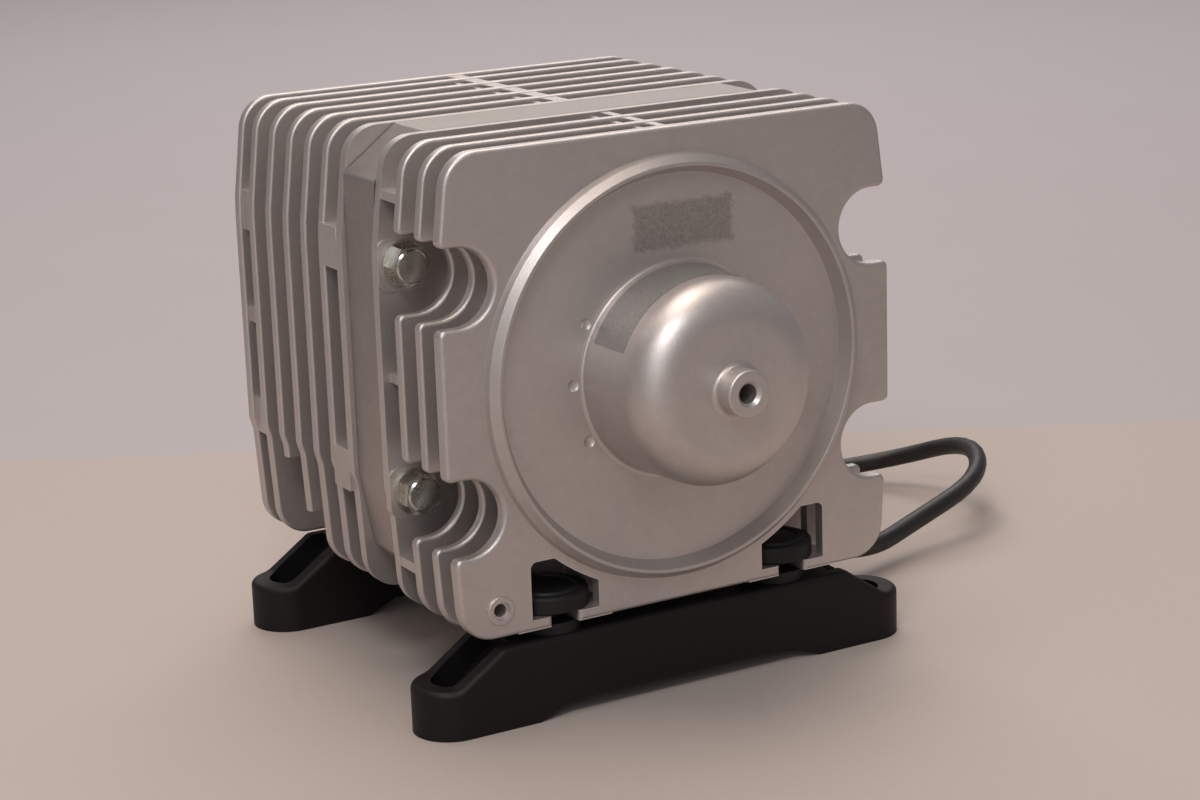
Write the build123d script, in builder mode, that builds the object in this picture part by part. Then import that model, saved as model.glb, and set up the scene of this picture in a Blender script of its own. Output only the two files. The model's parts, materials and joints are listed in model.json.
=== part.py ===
from build123d import *
import math
import os

os.makedirs("parts", exist_ok=True)

# Frame: X across, Y from front to back, Z up, floor at Z = 0. Sizes in mm.
AXIS_Z = 120.5  # height of the pump axis
FACE_Y = -70.0  # front face of the front plate
FLOOR = -AXIS_Z  # the floor, counted from the axis

# body outline, counted from the axis
HALF_WIDTH = 92.6
HALF_HEIGHT = 86.0
TOP_CORNER_X = 87.4
TOP_SHOULDER = (92.3, 48.0)
MID_Z = 40.0
LOBE = (91.2, -45.0)
BOTTOM_CORNER_X = 88.8
CORNER_R = 13.0

# clamping bolts (M8) and the notches that give access to them
BOLT_X = 82.8
BOLT_ROWS = (41.4, -41.4)
BOLT_R = 4.0
BOLT_HOLE_R = 4.5
BOLT_TAP_R = 4.05
BOLT_HEAD_AF = 13.0
BOLT_HEAD_H = 5.3
BOLT_LENGTH = 40.0
WASHER_R = 8.5
WASHER_T = 1.6
NOTCH_X = 85.2
NOTCH_ROWS = (40.25, -40.95)
NOTCH_R = 14.0
NOTCH_LIP_R = 2.4
PAD_X = 82.0
PAD_SIZE = (21.0, 18.6)
PAD_FRONT = 45.3
REAR_PAD_HEIGHT = 15.6

# depths, counted back from the front plate's face
PLATE_T = 4.5
FIN_T = 4.2
FRONT_FINS = (15.4, 30.9)
FLANGE_FRONT = 46.0
FRONT_END = 50.0
GASKET_T = 0.5
FRAME_FRONT = FRONT_END + GASKET_T
FRAME_END = 74.5
REAR_START = FRAME_END + GASKET_T
REAR_FLANGE_END = 80.5
REAR_FINS = (91.5, 107.2, 123.1, 139.0, 154.9)
BACK_END = 172.0
REAR_PLATE_START = BACK_END - FIN_T
COVER_END = 187.4
EDGE_R = 1.2
PLATE_EDGE_R = 1.6

# round core of the castings
CORE_R = 72.0
BORE_R = 68.0
FIN_ROOT_R = CORE_R - 0.5

# ledges and ribs that tie the fins together
FRONT_LEDGES = (66.6, 1.0, -66.7)
FRONT_LEDGE_T = 3.4
LEDGE_X = (66.0, 89.6)
REAR_WEB_X = (CORE_R, 90.5)
REAR_WEBS = ((43.4, 15.6), (2.3, 6.2), (-38.0, 14.0))
RIB_HEIGHT = 16.0
FRONT_RIBS = ((1.0, 3.6, 8.5), (-4.4, 2.2, 9.5))
REAR_RIBS = ((3.5, 6.0, 8.5), (-2.6, 2.2, 9.5))

# dome and outlet nozzle on the front
DOME_R = 38.1
DOME_BASE_R = 39.4
DOME_ROOT_R = 1.2
DOME_SHOULDER_R = 14.0
DOME_TOP = -38.2
DOME_WALL = 3.4
DOME_DRAFT = 1.8
CAVITY_DRAFT = 2.0
CAVITY_CORNER_R = 11.0
NOZZLE_TIP = -47.4
NOZZLE_R = 8.4
NOZZLE_LIP_R = 0.9
NOZZLE_ROOT_R = 2.0
NOZZLE_BORE_R = 3.5
NOZZLE_MOUTH_R = 4.7
NOZZLE_MOUTH_DEPTH = 1.2

# raised ring on the plate: radius and depth of its corners
RING_FOOT = (69.8, 77.0)
RING_CREST = (72.6, 73.8, -5.2)
RING_STEP = (76.2, -2.6)
RING_CREST_R = 0.5
MARK_RING_R = 42.0
MARK_BALL_R = 3.2
MARK_DEPTH = 0.9

# small screw boss in the lower left corner of the plate
CORNER_BOSS = (-74.2, -75.7)
CORNER_BOSS_R = 5.3
CORNER_BOSS_H = 0.9
CORNER_BOSS_EDGE_R = 0.6
CORNER_CUP_R = 3.6
CORNER_HOLE_R = 2.4

# isolators, feet and the openings for them
FOOT_HALF = 102.3
FOOT_DEPTH = 28.0
FOOT_CENTRES = (14.0, 154.0)
FOOT_TOP = 30.4
FOOT_KNEE_X = 73.0
FOOT_SLOPE_END_X = 91.0
FOOT_RIM_R = 2.2
LUG_TOP = 18.0
LUG_X = 89.0
LUG_HOLE_R = 3.25
LUG_FLOOR = 9.5
CHANNEL_HALF = 8.4
CHANNEL_END = 95.0
CHANNEL_FLOOR_X = 85.0
CHANNEL_START = (68.0, 24.5)
ARCH_TOP = 5.4
ARCH_HALF = (48.0, 60.0)
ISO_X = 48.15
ISO_R = 15.0
ISO_LOWER_R = 12.0
ISO_NECK_R = 5.0
ISO_BORE_R = 2.6
ISO_HEAD_TOP = 45.2
ISO_RING = (9.8, 12.2, 0.8)
ISO_SCREW_HEAD_R = 4.4
ISO_SCREW_SEAT = 15.4
ISO_SCREW_END = 42.0
SHELF_T = 4.0
SHELF_W = 38.0
SLOT_HALF = 5.25
TAB_R = 2.0
WINDOW = (34.6, 61.7)
WINDOW_TOP = -60.8
WINDOW_ARC_R = 80.0
WINDOW_CORNER_R = 2.5
ROOM_HALF = 17.2

# pump inside
CYL_R = 20.0
CYL_OUT_R = 25.0
CYL_FLANGE_R = 62.0
CYL_SCREW_PCR = 56.0
CYL_BOSS_R = 6.0
M5_TAP_R = 2.55
M5_R = 2.5
M5_CLEAR_R = 2.75
M5_HEAD_R = 4.2
M5_SOCKET_R = 2.3
M5_SOCKET_DEPTH = 2.6
M5_HEAD_H = 5.0
HEAD_R = 48.0
HEAD_FRONT = 5.3
HEAD_BACK = 14.0
CYL_FLANGE_END = 20.0
CYL_END = 52.0
CROWN = 25.0
CROWN_T = 4.0
PISTON_END = 45.0
SHAFT_R = 5.0
SHAFT_FIT_R = SHAFT_R + 0.02
SHAFT_END = 147.0
SUCTION_LIFT = 1.0
RUNNING = 0.05
ARMATURE = (61.0, 91.0)
ARMATURE_HALF = (22.0, 36.0)
STATOR = (69.0, 99.0)
STATOR_SCREW = (50.0, 30.0)
SPRING_SEAT_END = 94.0
SPRING_END = 130.0
SPRING_MEAN_R = 16.0
SPRING_WIRE_R = 1.6
SPRING_TURNS = 6.0
WEB_END = 134.0
GUIDE = (122.0, 140.0)
GUIDE_OUT_R = 12.0
BUSH_R = 8.0
COVER_SCREW_PCR = 55.5
INTAKE_R = 44.0
INTAKE_BAR = 5.0

# power cord
CORD_D = 7.6
COIL_CENTRE = (60.0, 278.0)
COIL_MEAN_R = 41.0
COIL_OUTER_R = 48.7
COIL_HALF_W = 11.6
COIL_BASE = 0.8
COIL_TOP = 16.2
COIL_EDGE_R = 6.0

PUMP_AXIS = Axis((0, 0, AXIS_Z), (0, 1, 0))


def cross(depth):
    """Plane across the pump axis at a depth behind the front face, facing the front."""
    return Plane(origin=(0, FACE_Y + depth, AXIS_Z), x_dir=(1, 0, 0), z_dir=(0, -1, 0))


def half_section():
    """Plane through the pump axis: local x is the radius, local y the depth."""
    return Plane(origin=(0, FACE_Y, AXIS_Z), x_dir=(1, 0, 0), z_dir=(0, 0, 1))


def level(height):
    """Horizontal plane at a height over the floor, with depth counted from the front face."""
    return Plane(origin=(0, FACE_Y, height), x_dir=(1, 0, 0), z_dir=(0, 0, 1))


# ------------------------------------------------------------------ outlines
right_side = [
    (TOP_CORNER_X, HALF_HEIGHT),
    TOP_SHOULDER,
    (HALF_WIDTH, MID_Z),
    (HALF_WIDTH, -MID_Z),
    LOBE,
    (BOTTOM_CORNER_X, -HALF_HEIGHT),
]
left_side = [(-x, z) for x, z in reversed(right_side)]

with BuildSketch() as body_outline:
    with BuildLine():
        Polyline(*right_side, *left_side, close=True)
    make_face()
    fillet(body_outline.vertices().filter_by(lambda v: abs(v.Y) > HALF_HEIGHT - 1), CORNER_R)

with BuildSketch() as notched_outline:
    add(body_outline.sketch)
    for side in (-1, 1):
        for row in NOTCH_ROWS:
            with Locations((side * NOTCH_X, row)):
                Circle(NOTCH_R, mode=Mode.SUBTRACT)
            with Locations((side * (NOTCH_X + NOTCH_R), row)):
                Rectangle(2 * NOTCH_R, 2 * NOTCH_R, mode=Mode.SUBTRACT)
    mouths = notched_outline.vertices().filter_by(lambda v: abs(v.X) > HALF_WIDTH - 2.5)
    mouths = mouths.filter_by(lambda v: abs(abs(v.Y) - MID_Z) < NOTCH_R + 2)
    fillet(mouths, NOTCH_LIP_R)

# centre frame outline: flat recessed sides, chamfered corners
FRAME_SIDE = 90.5
frame_right = [
    (69.0, HALF_HEIGHT),
    (FRAME_SIDE, 70.2),
    (FRAME_SIDE, -41.5),
    (86.0, -68.0),
    (68.0, -HALF_HEIGHT),
]
frame_left = [(-x, z) for x, z in reversed(frame_right)]
with BuildSketch() as frame_outline:
    with BuildLine():
        Polyline(*frame_right, *frame_left, close=True)
    make_face()
    fillet(frame_outline.vertices(), 2.0)

# windows in the end plates that show the isolator heads, and the room behind them
window_middle = (WINDOW_TOP - HALF_HEIGHT + SHELF_T) / 2
window_height = WINDOW_TOP + HALF_HEIGHT - SHELF_T
with BuildSketch() as window:
    for side in (-1, 1):
        with Locations((side * (WINDOW[0] + WINDOW[1]) / 2, window_middle)):
            Rectangle(WINDOW[1] - WINDOW[0], window_height)
    Circle(WINDOW_ARC_R, mode=Mode.SUBTRACT)
    upper_corners = window.vertices().filter_by(lambda v: abs(v.X) > WINDOW[1] - 1 and v.Y > window_middle)
    fillet(upper_corners, WINDOW_CORNER_R)

with BuildSketch() as deep_window:
    for side in (-1, 1):
        with Locations((side * ISO_X, window_middle)):
            Rectangle(2 * ROOM_HALF, window_height)
    Circle(CORE_R + 2, mode=Mode.SUBTRACT)

# ------------------------------------------------------- rounded fin blanks
with BuildPart() as notched_fin:
    with BuildSketch(cross(FIN_T)):
        add(notched_outline.sketch)
    extrude(amount=FIN_T)
    rims = notched_fin.faces().sort_by(Axis.Y)[0].edges() + notched_fin.faces().sort_by(Axis.Y)[-1].edges()
    fillet(rims, EDGE_R)

with BuildPart() as plain_fin:
    with BuildSketch(cross(FIN_T)):
        add(body_outline.sketch)
    extrude(amount=FIN_T)
    rims = plain_fin.faces().sort_by(Axis.Y)[0].edges() + plain_fin.faces().sort_by(Axis.Y)[-1].edges()
    fillet(rims, EDGE_R)

# -------------------------------------- room for the isolators at each foot
FRONT_ROOM_END = FOOT_CENTRES[0] + ROOM_HALF
with BuildPart() as front_foot_room:
    with BuildSketch(cross(FRONT_ROOM_END)):
        add(deep_window.sketch)
    extrude(amount=FRONT_ROOM_END - PLATE_T)
    with BuildSketch(level(AXIS_Z - HALF_HEIGHT - 1)) as front_slots:
        for side in (-1, 1):
            with Locations((side * ISO_X, FOOT_CENTRES[0])):
                Circle(SLOT_HALF)
            with Locations((side * ISO_X, FOOT_CENTRES[0] / 2)):
                Rectangle(2 * SLOT_HALF, FOOT_CENTRES[0])
            with Locations((side * ISO_X, -TAB_R)):
                Rectangle(2 * SLOT_HALF + 4 * TAB_R, 2 * TAB_R)
        mouths = front_slots.vertices().filter_by(lambda v: abs(v.Y) < 0.1)
        fillet(mouths.filter_by(lambda v: abs(abs(v.X) - ISO_X) < SLOT_HALF + 0.1), TAB_R)
    extrude(amount=SHELF_T + 2)

REAR_ROOM_START = FOOT_CENTRES[1] - ROOM_HALF
REAR_SLOT_LENGTH = BACK_END + 2 - FOOT_CENTRES[1]
with BuildPart() as rear_foot_room:
    with BuildSketch(cross(REAR_PLATE_START)):
        add(deep_window.sketch)
    extrude(amount=REAR_PLATE_START - REAR_ROOM_START)
    with BuildSketch(level(AXIS_Z - HALF_HEIGHT - 1)):
        for side in (-1, 1):
            with Locations((side * ISO_X, FOOT_CENTRES[1])):
                Circle(SLOT_HALF)
            with Locations((side * ISO_X, FOOT_CENTRES[1] + REAR_SLOT_LENGTH / 2)):
                Rectangle(2 * SLOT_HALF, REAR_SLOT_LENGTH)
    extrude(amount=SHELF_T + 2)

# --------------------------------------------------------------------- fins
with BuildPart() as front_fins:
    for depth in FRONT_FINS:
        with Locations((0, depth, 0)):
            add(notched_fin.part)
    with BuildSketch(cross(FRONT_END)):
        Circle(FIN_ROOT_R)
    extrude(amount=FRONT_END, mode=Mode.SUBTRACT)
    add(front_foot_room.part, mode=Mode.SUBTRACT)
front_fins.part.label = "front_fins"
export_step(front_fins.part, "parts/front_fins.step")

# two of the rear fins are cut short over the rear foot
SHORT_FINS = ((REAR_FINS[3], -49.5), (REAR_FINS[2], -67.5))
SHORT_INNER_X = 62.0
with BuildPart() as rear_fins:
    for depth in REAR_FINS:
        with Locations((0, depth, 0)):
            add(plain_fin.part)
    with BuildSketch(cross(REAR_PLATE_START)):
        Circle(FIN_ROOT_R)
    extrude(amount=REAR_PLATE_START - REAR_START, mode=Mode.SUBTRACT)
    for depth, lowest in SHORT_FINS:
        cut_height = lowest + HALF_HEIGHT + 12
        with BuildSketch(cross(depth + FIN_T + 0.5)):
            for side in (-1, 1):
                with Locations((side * (SHORT_INNER_X + 18), lowest - cut_height / 2)):
                    RectangleRounded(36.0, cut_height, 6.0)
            Circle(CORE_R, mode=Mode.SUBTRACT)
        extrude(amount=FIN_T + 1, mode=Mode.SUBTRACT)
    add(rear_foot_room.part, mode=Mode.SUBTRACT)
rear_fins.part.label = "rear_fins"
export_step(rear_fins.part, "parts/rear_fins.step")

# -------------------------------------------------------------- front plate
with BuildPart() as front_plate:
    with BuildSketch(cross(PLATE_T)):
        add(notched_outline.sketch)
    extrude(amount=PLATE_T)
    fillet(front_plate.faces().sort_by(Axis.Y)[0].edges(), PLATE_EDGE_R)
    with BuildSketch(half_section()) as ring_profile:
        with BuildLine():
            Polyline(
                (RING_FOOT[0], 1.0),
                (RING_FOOT[0], 0),
                (RING_CREST[0], RING_CREST[2]),
                (RING_CREST[1], RING_CREST[2]),
                RING_STEP,
                (RING_FOOT[1], 0),
                (RING_FOOT[1], 1.0),
                close=True,
            )
        make_face()
        fillet(ring_profile.vertices().filter_by(lambda v: v.Y < RING_STEP[1] - 1), RING_CREST_R)
    revolve(axis=PUMP_AXIS)
    # three dimples beside the dome
    with BuildSketch(cross(PLATE_T)):
        Circle(DOME_BASE_R)
    extrude(amount=PLATE_T + 1, mode=Mode.SUBTRACT)
    for angle in (150, 180, 210):
        reach = Vector(MARK_RING_R, 0, 0).rotate(Axis.Z, angle)
        with Locations((reach.X, FACE_Y - MARK_BALL_R + MARK_DEPTH, AXIS_Z + reach.Y)):
            Sphere(MARK_BALL_R, mode=Mode.SUBTRACT)
    # bosses for the cylinder screws
    with BuildSketch(cross(HEAD_BACK)):
        with PolarLocations(CYL_SCREW_PCR, 4, 45):
            Circle(CYL_BOSS_R)
    extrude(amount=HEAD_BACK - PLATE_T + 1)
    with BuildSketch(cross(HEAD_BACK)):
        with PolarLocations(CYL_SCREW_PCR, 4, 45):
            Circle(M5_TAP_R)
    extrude(amount=8.0, mode=Mode.SUBTRACT)
    # small screw boss in the corner
    with BuildSketch(cross(FRONT_FINS[0])):
        with Locations(CORNER_BOSS):
            Circle(CORNER_BOSS_R)
    extrude(amount=FRONT_FINS[0] + CORNER_BOSS_H)
    boss_front = (CORNER_BOSS[0], FACE_Y - CORNER_BOSS_H, AXIS_Z + CORNER_BOSS[1])
    fillet(front_plate.faces().sort_by_distance(boss_front)[0].edges(), CORNER_BOSS_EDGE_R)
    with BuildSketch(cross(0.4)):
        with Locations(CORNER_BOSS):
            Circle(CORNER_CUP_R)
    extrude(amount=2.0, mode=Mode.SUBTRACT)
    with BuildSketch(cross(12.0)):
        with Locations(CORNER_BOSS):
            Circle(CORNER_HOLE_R)
    extrude(amount=14.0, mode=Mode.SUBTRACT)
    # bottom shelf with the isolator windows and slots
    with BuildSketch(level(AXIS_Z - HALF_HEIGHT)):
        for side in (-1, 1):
            with Locations((side * ISO_X, (FRONT_ROOM_END + 1) / 2)):
                Rectangle(SHELF_W, FRONT_ROOM_END)
    extrude(amount=SHELF_T)
    with BuildSketch(cross(PLATE_T)):
        add(window.sketch)
    extrude(amount=PLATE_T + 1, mode=Mode.SUBTRACT)
    add(front_foot_room.part, mode=Mode.SUBTRACT)
front_plate.part.label = "front_plate"
export_step(front_plate.part, "parts/front_plate.step")

# --------------------------------------------------------------- front dome
with BuildPart() as front_dome:
    with BuildSketch(half_section()) as dome_profile:
        with BuildLine():
            Polyline(
                (0, NOZZLE_TIP),
                (NOZZLE_R, NOZZLE_TIP),
                (NOZZLE_R, DOME_TOP - 0.8),
                (DOME_R - DOME_DRAFT, DOME_TOP),
                (DOME_R, 0),
                (DOME_BASE_R, 0),
                (DOME_BASE_R, PLATE_T),
                (0, PLATE_T),
                close=True,
            )
        make_face()
        for corner, radius in (
            ((NOZZLE_R, NOZZLE_TIP, 0), NOZZLE_LIP_R),
            ((NOZZLE_R, DOME_TOP - 0.8, 0), NOZZLE_ROOT_R),
            ((DOME_R - DOME_DRAFT, DOME_TOP, 0), DOME_SHOULDER_R),
            ((DOME_R, 0, 0), DOME_ROOT_R),
        ):
            fillet(dome_profile.vertices().sort_by_distance(corner)[0], radius)
    revolve(axis=PUMP_AXIS)
    with BuildSketch(half_section()) as cavity_profile:
        cavity_corner = (DOME_R - DOME_WALL - CAVITY_DRAFT, DOME_TOP + DOME_WALL)
        with BuildLine():
            Polyline(
                (0, DOME_TOP + DOME_WALL),
                cavity_corner,
                (DOME_R - DOME_WALL, 0),
                (DOME_R - DOME_WALL, PLATE_T + 1),
                (0, PLATE_T + 1),
                close=True,
            )
        make_face()
        fillet(cavity_profile.vertices().sort_by_distance((*cavity_corner, 0))[0], CAVITY_CORNER_R)
    revolve(axis=PUMP_AXIS, mode=Mode.SUBTRACT)
    with BuildSketch(half_section()) as outlet_profile:
        with BuildLine():
            Polyline(
                (0, NOZZLE_TIP - 1),
                (NOZZLE_MOUTH_R, NOZZLE_TIP - 1),
                (NOZZLE_MOUTH_R, NOZZLE_TIP),
                (NOZZLE_BORE_R, NOZZLE_TIP + NOZZLE_MOUTH_DEPTH),
                (NOZZLE_BORE_R, DOME_TOP + DOME_WALL + 1),
                (0, DOME_TOP + DOME_WALL + 1),
                close=True,
            )
        make_face()
    revolve(axis=PUMP_AXIS, mode=Mode.SUBTRACT)
front_dome.part.label = "front_dome"
export_step(front_dome.part, "parts/front_dome.step")

# ------------------------------------------------------------ front housing
with BuildPart() as front_housing:
    with BuildSketch(cross(FRONT_END)):
        add(body_outline.sketch)
    extrude(amount=FRONT_END - FLANGE_FRONT)
    with BuildSketch(cross(FRONT_END)):
        Circle(CORE_R)
    extrude(amount=FRONT_END - PLATE_T)
    # pads under the bolt heads
    with BuildSketch(cross(FRONT_END - 1)):
        for side in (-1, 1):
            for row in BOLT_ROWS:
                with Locations((side * PAD_X, row)):
                    RectangleRounded(*PAD_SIZE, 4.0)
    extrude(amount=FRONT_END - 1 - PAD_FRONT)
    # ledges between the last fin and the flange, and the ribs over the top
    with BuildSketch(cross(FLANGE_FRONT + 1)):
        for side in (-1, 1):
            for height in FRONT_LEDGES:
                with Locations((side * (LEDGE_X[0] + LEDGE_X[1]) / 2, height)):
                    Rectangle(LEDGE_X[1] - LEDGE_X[0], FRONT_LEDGE_T)
    extrude(amount=FLANGE_FRONT - FRONT_FINS[1] - 1)
    with BuildSketch(cross(FLANGE_FRONT + 1)):
        for x, width, drop in FRONT_RIBS:
            with Locations((x, HALF_HEIGHT - drop)):
                Rectangle(width, RIB_HEIGHT)
    extrude(amount=FLANGE_FRONT + 1 - PLATE_T)
    with BuildSketch(cross(FRONT_END)):
        Circle(BORE_R)
        for side in (-1, 1):
            for row in BOLT_ROWS:
                with Locations((side * BOLT_X, row)):
                    Circle(BOLT_HOLE_R)
    extrude(amount=FRONT_END - PLATE_T, mode=Mode.SUBTRACT)
front_housing.part.label = "front_housing"
export_step(front_housing.part, "parts/front_housing.step")

# ------------------------------------------------------------- centre frame
FRAME_WEB_T = 4.0
FRAME_WEB_HOLE_R = 28.0
FRAME_AIR_PCR = 47.0
FRAME_AIR_R = 8.0
STATOR_BOSS_R = 5.0
STATOR_SCREW_DEPTH = 12.0
POCKET = ((34.0, -48.0), (79.0, -52.0), (80.0, -66.0), (66.0, -80.0), (34.0, -80.0))
ENTRY = (77.0, -77.0)
ENTRY_Y = (FRAME_FRONT + FRAME_END) / 2
ENTRY_R = 6.05
ENTRY_DEPTH = 12.0
entry_plane = Plane(
    origin=(ENTRY[0], FACE_Y + ENTRY_Y, AXIS_Z + ENTRY[1]),
    x_dir=(0, 1, 0),
    z_dir=(1, 0, -1),
)
with BuildPart() as center_frame:
    with BuildSketch(cross(FRAME_END)):
        add(frame_outline.sketch)
        Circle(BORE_R, mode=Mode.SUBTRACT)
    extrude(amount=FRAME_END - FRAME_FRONT)
    with BuildSketch(cross(FRAME_FRONT + FRAME_WEB_T)):
        Circle(BORE_R + 1)
        Circle(FRAME_WEB_HOLE_R, mode=Mode.SUBTRACT)
        with PolarLocations(FRAME_AIR_PCR, 6, 0):
            Circle(FRAME_AIR_R, mode=Mode.SUBTRACT)
    extrude(amount=FRAME_WEB_T)
    with BuildSketch(cross(STATOR[0])):
        for x in (-STATOR_SCREW[0], STATOR_SCREW[0]):
            for z in (-STATOR_SCREW[1], STATOR_SCREW[1]):
                with Locations((x, z)):
                    Circle(STATOR_BOSS_R)
    extrude(amount=STATOR[0] - FRAME_FRONT)
    with BuildSketch(cross(STATOR[0])):
        for x in (-STATOR_SCREW[0], STATOR_SCREW[0]):
            for z in (-STATOR_SCREW[1], STATOR_SCREW[1]):
                with Locations((x, z)):
                    Circle(M5_TAP_R)
    extrude(amount=STATOR_SCREW_DEPTH, mode=Mode.SUBTRACT)
    # terminal pocket in the lower right corner
    with BuildSketch(cross(FRAME_END)):
        with BuildLine():
            Polyline(*POCKET, close=True)
        make_face()
    extrude(amount=FRAME_END - FRAME_FRONT - FRAME_WEB_T, mode=Mode.SUBTRACT)
    with BuildSketch(cross(FRAME_END)):
        for side in (-1, 1):
            for row in BOLT_ROWS:
                with Locations((side * BOLT_X, row)):
                    Circle(BOLT_HOLE_R)
    extrude(amount=FRAME_END - FRAME_FRONT, mode=Mode.SUBTRACT)
    # cord entry, square to the lower right chamfer
    with BuildSketch(entry_plane.offset(1.0)):
        Circle(ENTRY_R)
    extrude(amount=-ENTRY_DEPTH, mode=Mode.SUBTRACT)
center_frame.part.label = "center_frame"
export_step(center_frame.part, "parts/center_frame.step")

# ------------------------------------------------------------------ gaskets
GASKET_INSET = 0.8
with BuildPart() as front_gasket:
    with BuildSketch(cross(FRAME_FRONT)):
        add(frame_outline.sketch)
        offset(amount=-GASKET_INSET, kind=Kind.INTERSECTION)
        Circle(BORE_R, mode=Mode.SUBTRACT)
        for side in (-1, 1):
            for row in BOLT_ROWS:
                with Locations((side * BOLT_X, row)):
                    Circle(BOLT_HOLE_R, mode=Mode.SUBTRACT)
    extrude(amount=GASKET_T)
front_gasket.part.label = "front_gasket"
export_step(front_gasket.part, "parts/front_gasket.step")

with BuildPart() as rear_gasket:
    with BuildSketch(cross(REAR_START)):
        add(frame_outline.sketch)
        offset(amount=-GASKET_INSET, kind=Kind.INTERSECTION)
        Circle(BORE_R, mode=Mode.SUBTRACT)
        for side in (-1, 1):
            for row in BOLT_ROWS:
                with Locations((side * BOLT_X, row)):
                    Circle(BOLT_HOLE_R, mode=Mode.SUBTRACT)
    extrude(amount=GASKET_T)
rear_gasket.part.label = "rear_gasket"
export_step(rear_gasket.part, "parts/rear_gasket.step")

# ------------------------------------------------------------- rear housing
with BuildPart() as rear_flange:
    with BuildSketch(cross(REAR_FLANGE_END)):
        add(body_outline.sketch)
    extrude(amount=REAR_FLANGE_END - REAR_START)
    fillet(rear_flange.faces().sort_by(Axis.Y)[-1].edges(), EDGE_R)
    # bosses for the clamping bolts, up to the first fin
    with BuildSketch(cross(REAR_FINS[0] + 1)):
        for side in (-1, 1):
            for row in BOLT_ROWS:
                with Locations((side * PAD_X, row + 0.9)):
                    Rectangle(PAD_SIZE[0], REAR_PAD_HEIGHT)
    extrude(amount=REAR_FINS[0] + 2 - REAR_FLANGE_END)
    with BuildSketch(cross(REAR_FINS[0] - 3)):
        Circle(CORE_R)
        for side in (-1, 1):
            for row in BOLT_ROWS:
                with Locations((side * BOLT_X, row)):
                    Circle(BOLT_TAP_R)
    extrude(amount=REAR_FINS[0] - 3 - REAR_START, mode=Mode.SUBTRACT)
rear_flange.part.label = "rear_flange"
export_step(rear_flange.part, "parts/rear_flange.step")

with BuildPart() as rear_plate:
    with Locations((0, REAR_PLATE_START, 0)):
        add(plain_fin.part)
    with BuildSketch(cross(REAR_PLATE_START + 1)):
        for side in (-1, 1):
            for height, tall in REAR_WEBS:
                with Locations((side * (REAR_WEB_X[0] + REAR_WEB_X[1]) / 2, height)):
                    Rectangle(REAR_WEB_X[1] - REAR_WEB_X[0], tall)
    extrude(amount=REAR_PLATE_START - REAR_FINS[4] - 1)
    # intake opening with a cross that backs the filter
    with BuildSketch(cross(BACK_END)):
        Circle(INTAKE_R)
        Rectangle(2 * INTAKE_R + 2, INTAKE_BAR, mode=Mode.SUBTRACT)
        Rectangle(INTAKE_BAR, 2 * INTAKE_R + 2, mode=Mode.SUBTRACT)
    extrude(amount=FIN_T, mode=Mode.SUBTRACT)
    # bosses for the filter cover screws
    with BuildSketch(cross(REAR_PLATE_START + 1)):
        with PolarLocations(COVER_SCREW_PCR, 4, 45):
            Circle(5.0)
    extrude(amount=7.0)
    with BuildSketch(cross(BACK_END)):
        with PolarLocations(COVER_SCREW_PCR, 4, 45):
            Circle(2.05)
    extrude(amount=9.0, mode=Mode.SUBTRACT)
    # bottom shelf, isolator windows and slots
    with BuildSketch(level(AXIS_Z - HALF_HEIGHT)):
        for side in (-1, 1):
            with Locations((side * ISO_X, (REAR_ROOM_START + BACK_END - 1) / 2)):
                Rectangle(SHELF_W, BACK_END - 1 - REAR_ROOM_START)
    extrude(amount=SHELF_T)
    with BuildSketch(cross(BACK_END)):
        add(window.sketch)
    extrude(amount=FIN_T, mode=Mode.SUBTRACT)
    add(rear_foot_room.part, mode=Mode.SUBTRACT)
rear_plate.part.label = "rear_plate"
export_step(rear_plate.part, "parts/rear_plate.step")

with BuildPart() as rear_housing:
    with BuildSketch(cross(REAR_PLATE_START)):
        Circle(CORE_R)
    extrude(amount=REAR_PLATE_START - REAR_START)
    with BuildSketch(cross(REAR_PLATE_START)):
        for x, width, drop in REAR_RIBS:
            with Locations((x, HALF_HEIGHT - drop)):
                Rectangle(width, RIB_HEIGHT)
    extrude(amount=REAR_PLATE_START - REAR_FLANGE_END)
    with BuildSketch(cross(REAR_PLATE_START)):
        Circle(BORE_R)
    extrude(amount=REAR_PLATE_START - REAR_START, mode=Mode.SUBTRACT)
    # inner web with the shaft guide and air windows
    with BuildSketch(cross(WEB_END)):
        Circle(BORE_R + 1)
        with PolarLocations(42.0, 6, 30):
            Circle(13.0, mode=Mode.SUBTRACT)
    extrude(amount=WEB_END - SPRING_END)
    with BuildSketch(cross(GUIDE[1])):
        Circle(GUIDE_OUT_R)
    extrude(amount=GUIDE[1] - GUIDE[0])
    with BuildSketch(cross(GUIDE[1] + 1)):
        Circle(BUSH_R + RUNNING)
    extrude(amount=GUIDE[1] - GUIDE[0] + 2, mode=Mode.SUBTRACT)
rear_housing.part.label = "rear_housing"
export_step(rear_housing.part, "parts/rear_housing.step")

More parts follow.
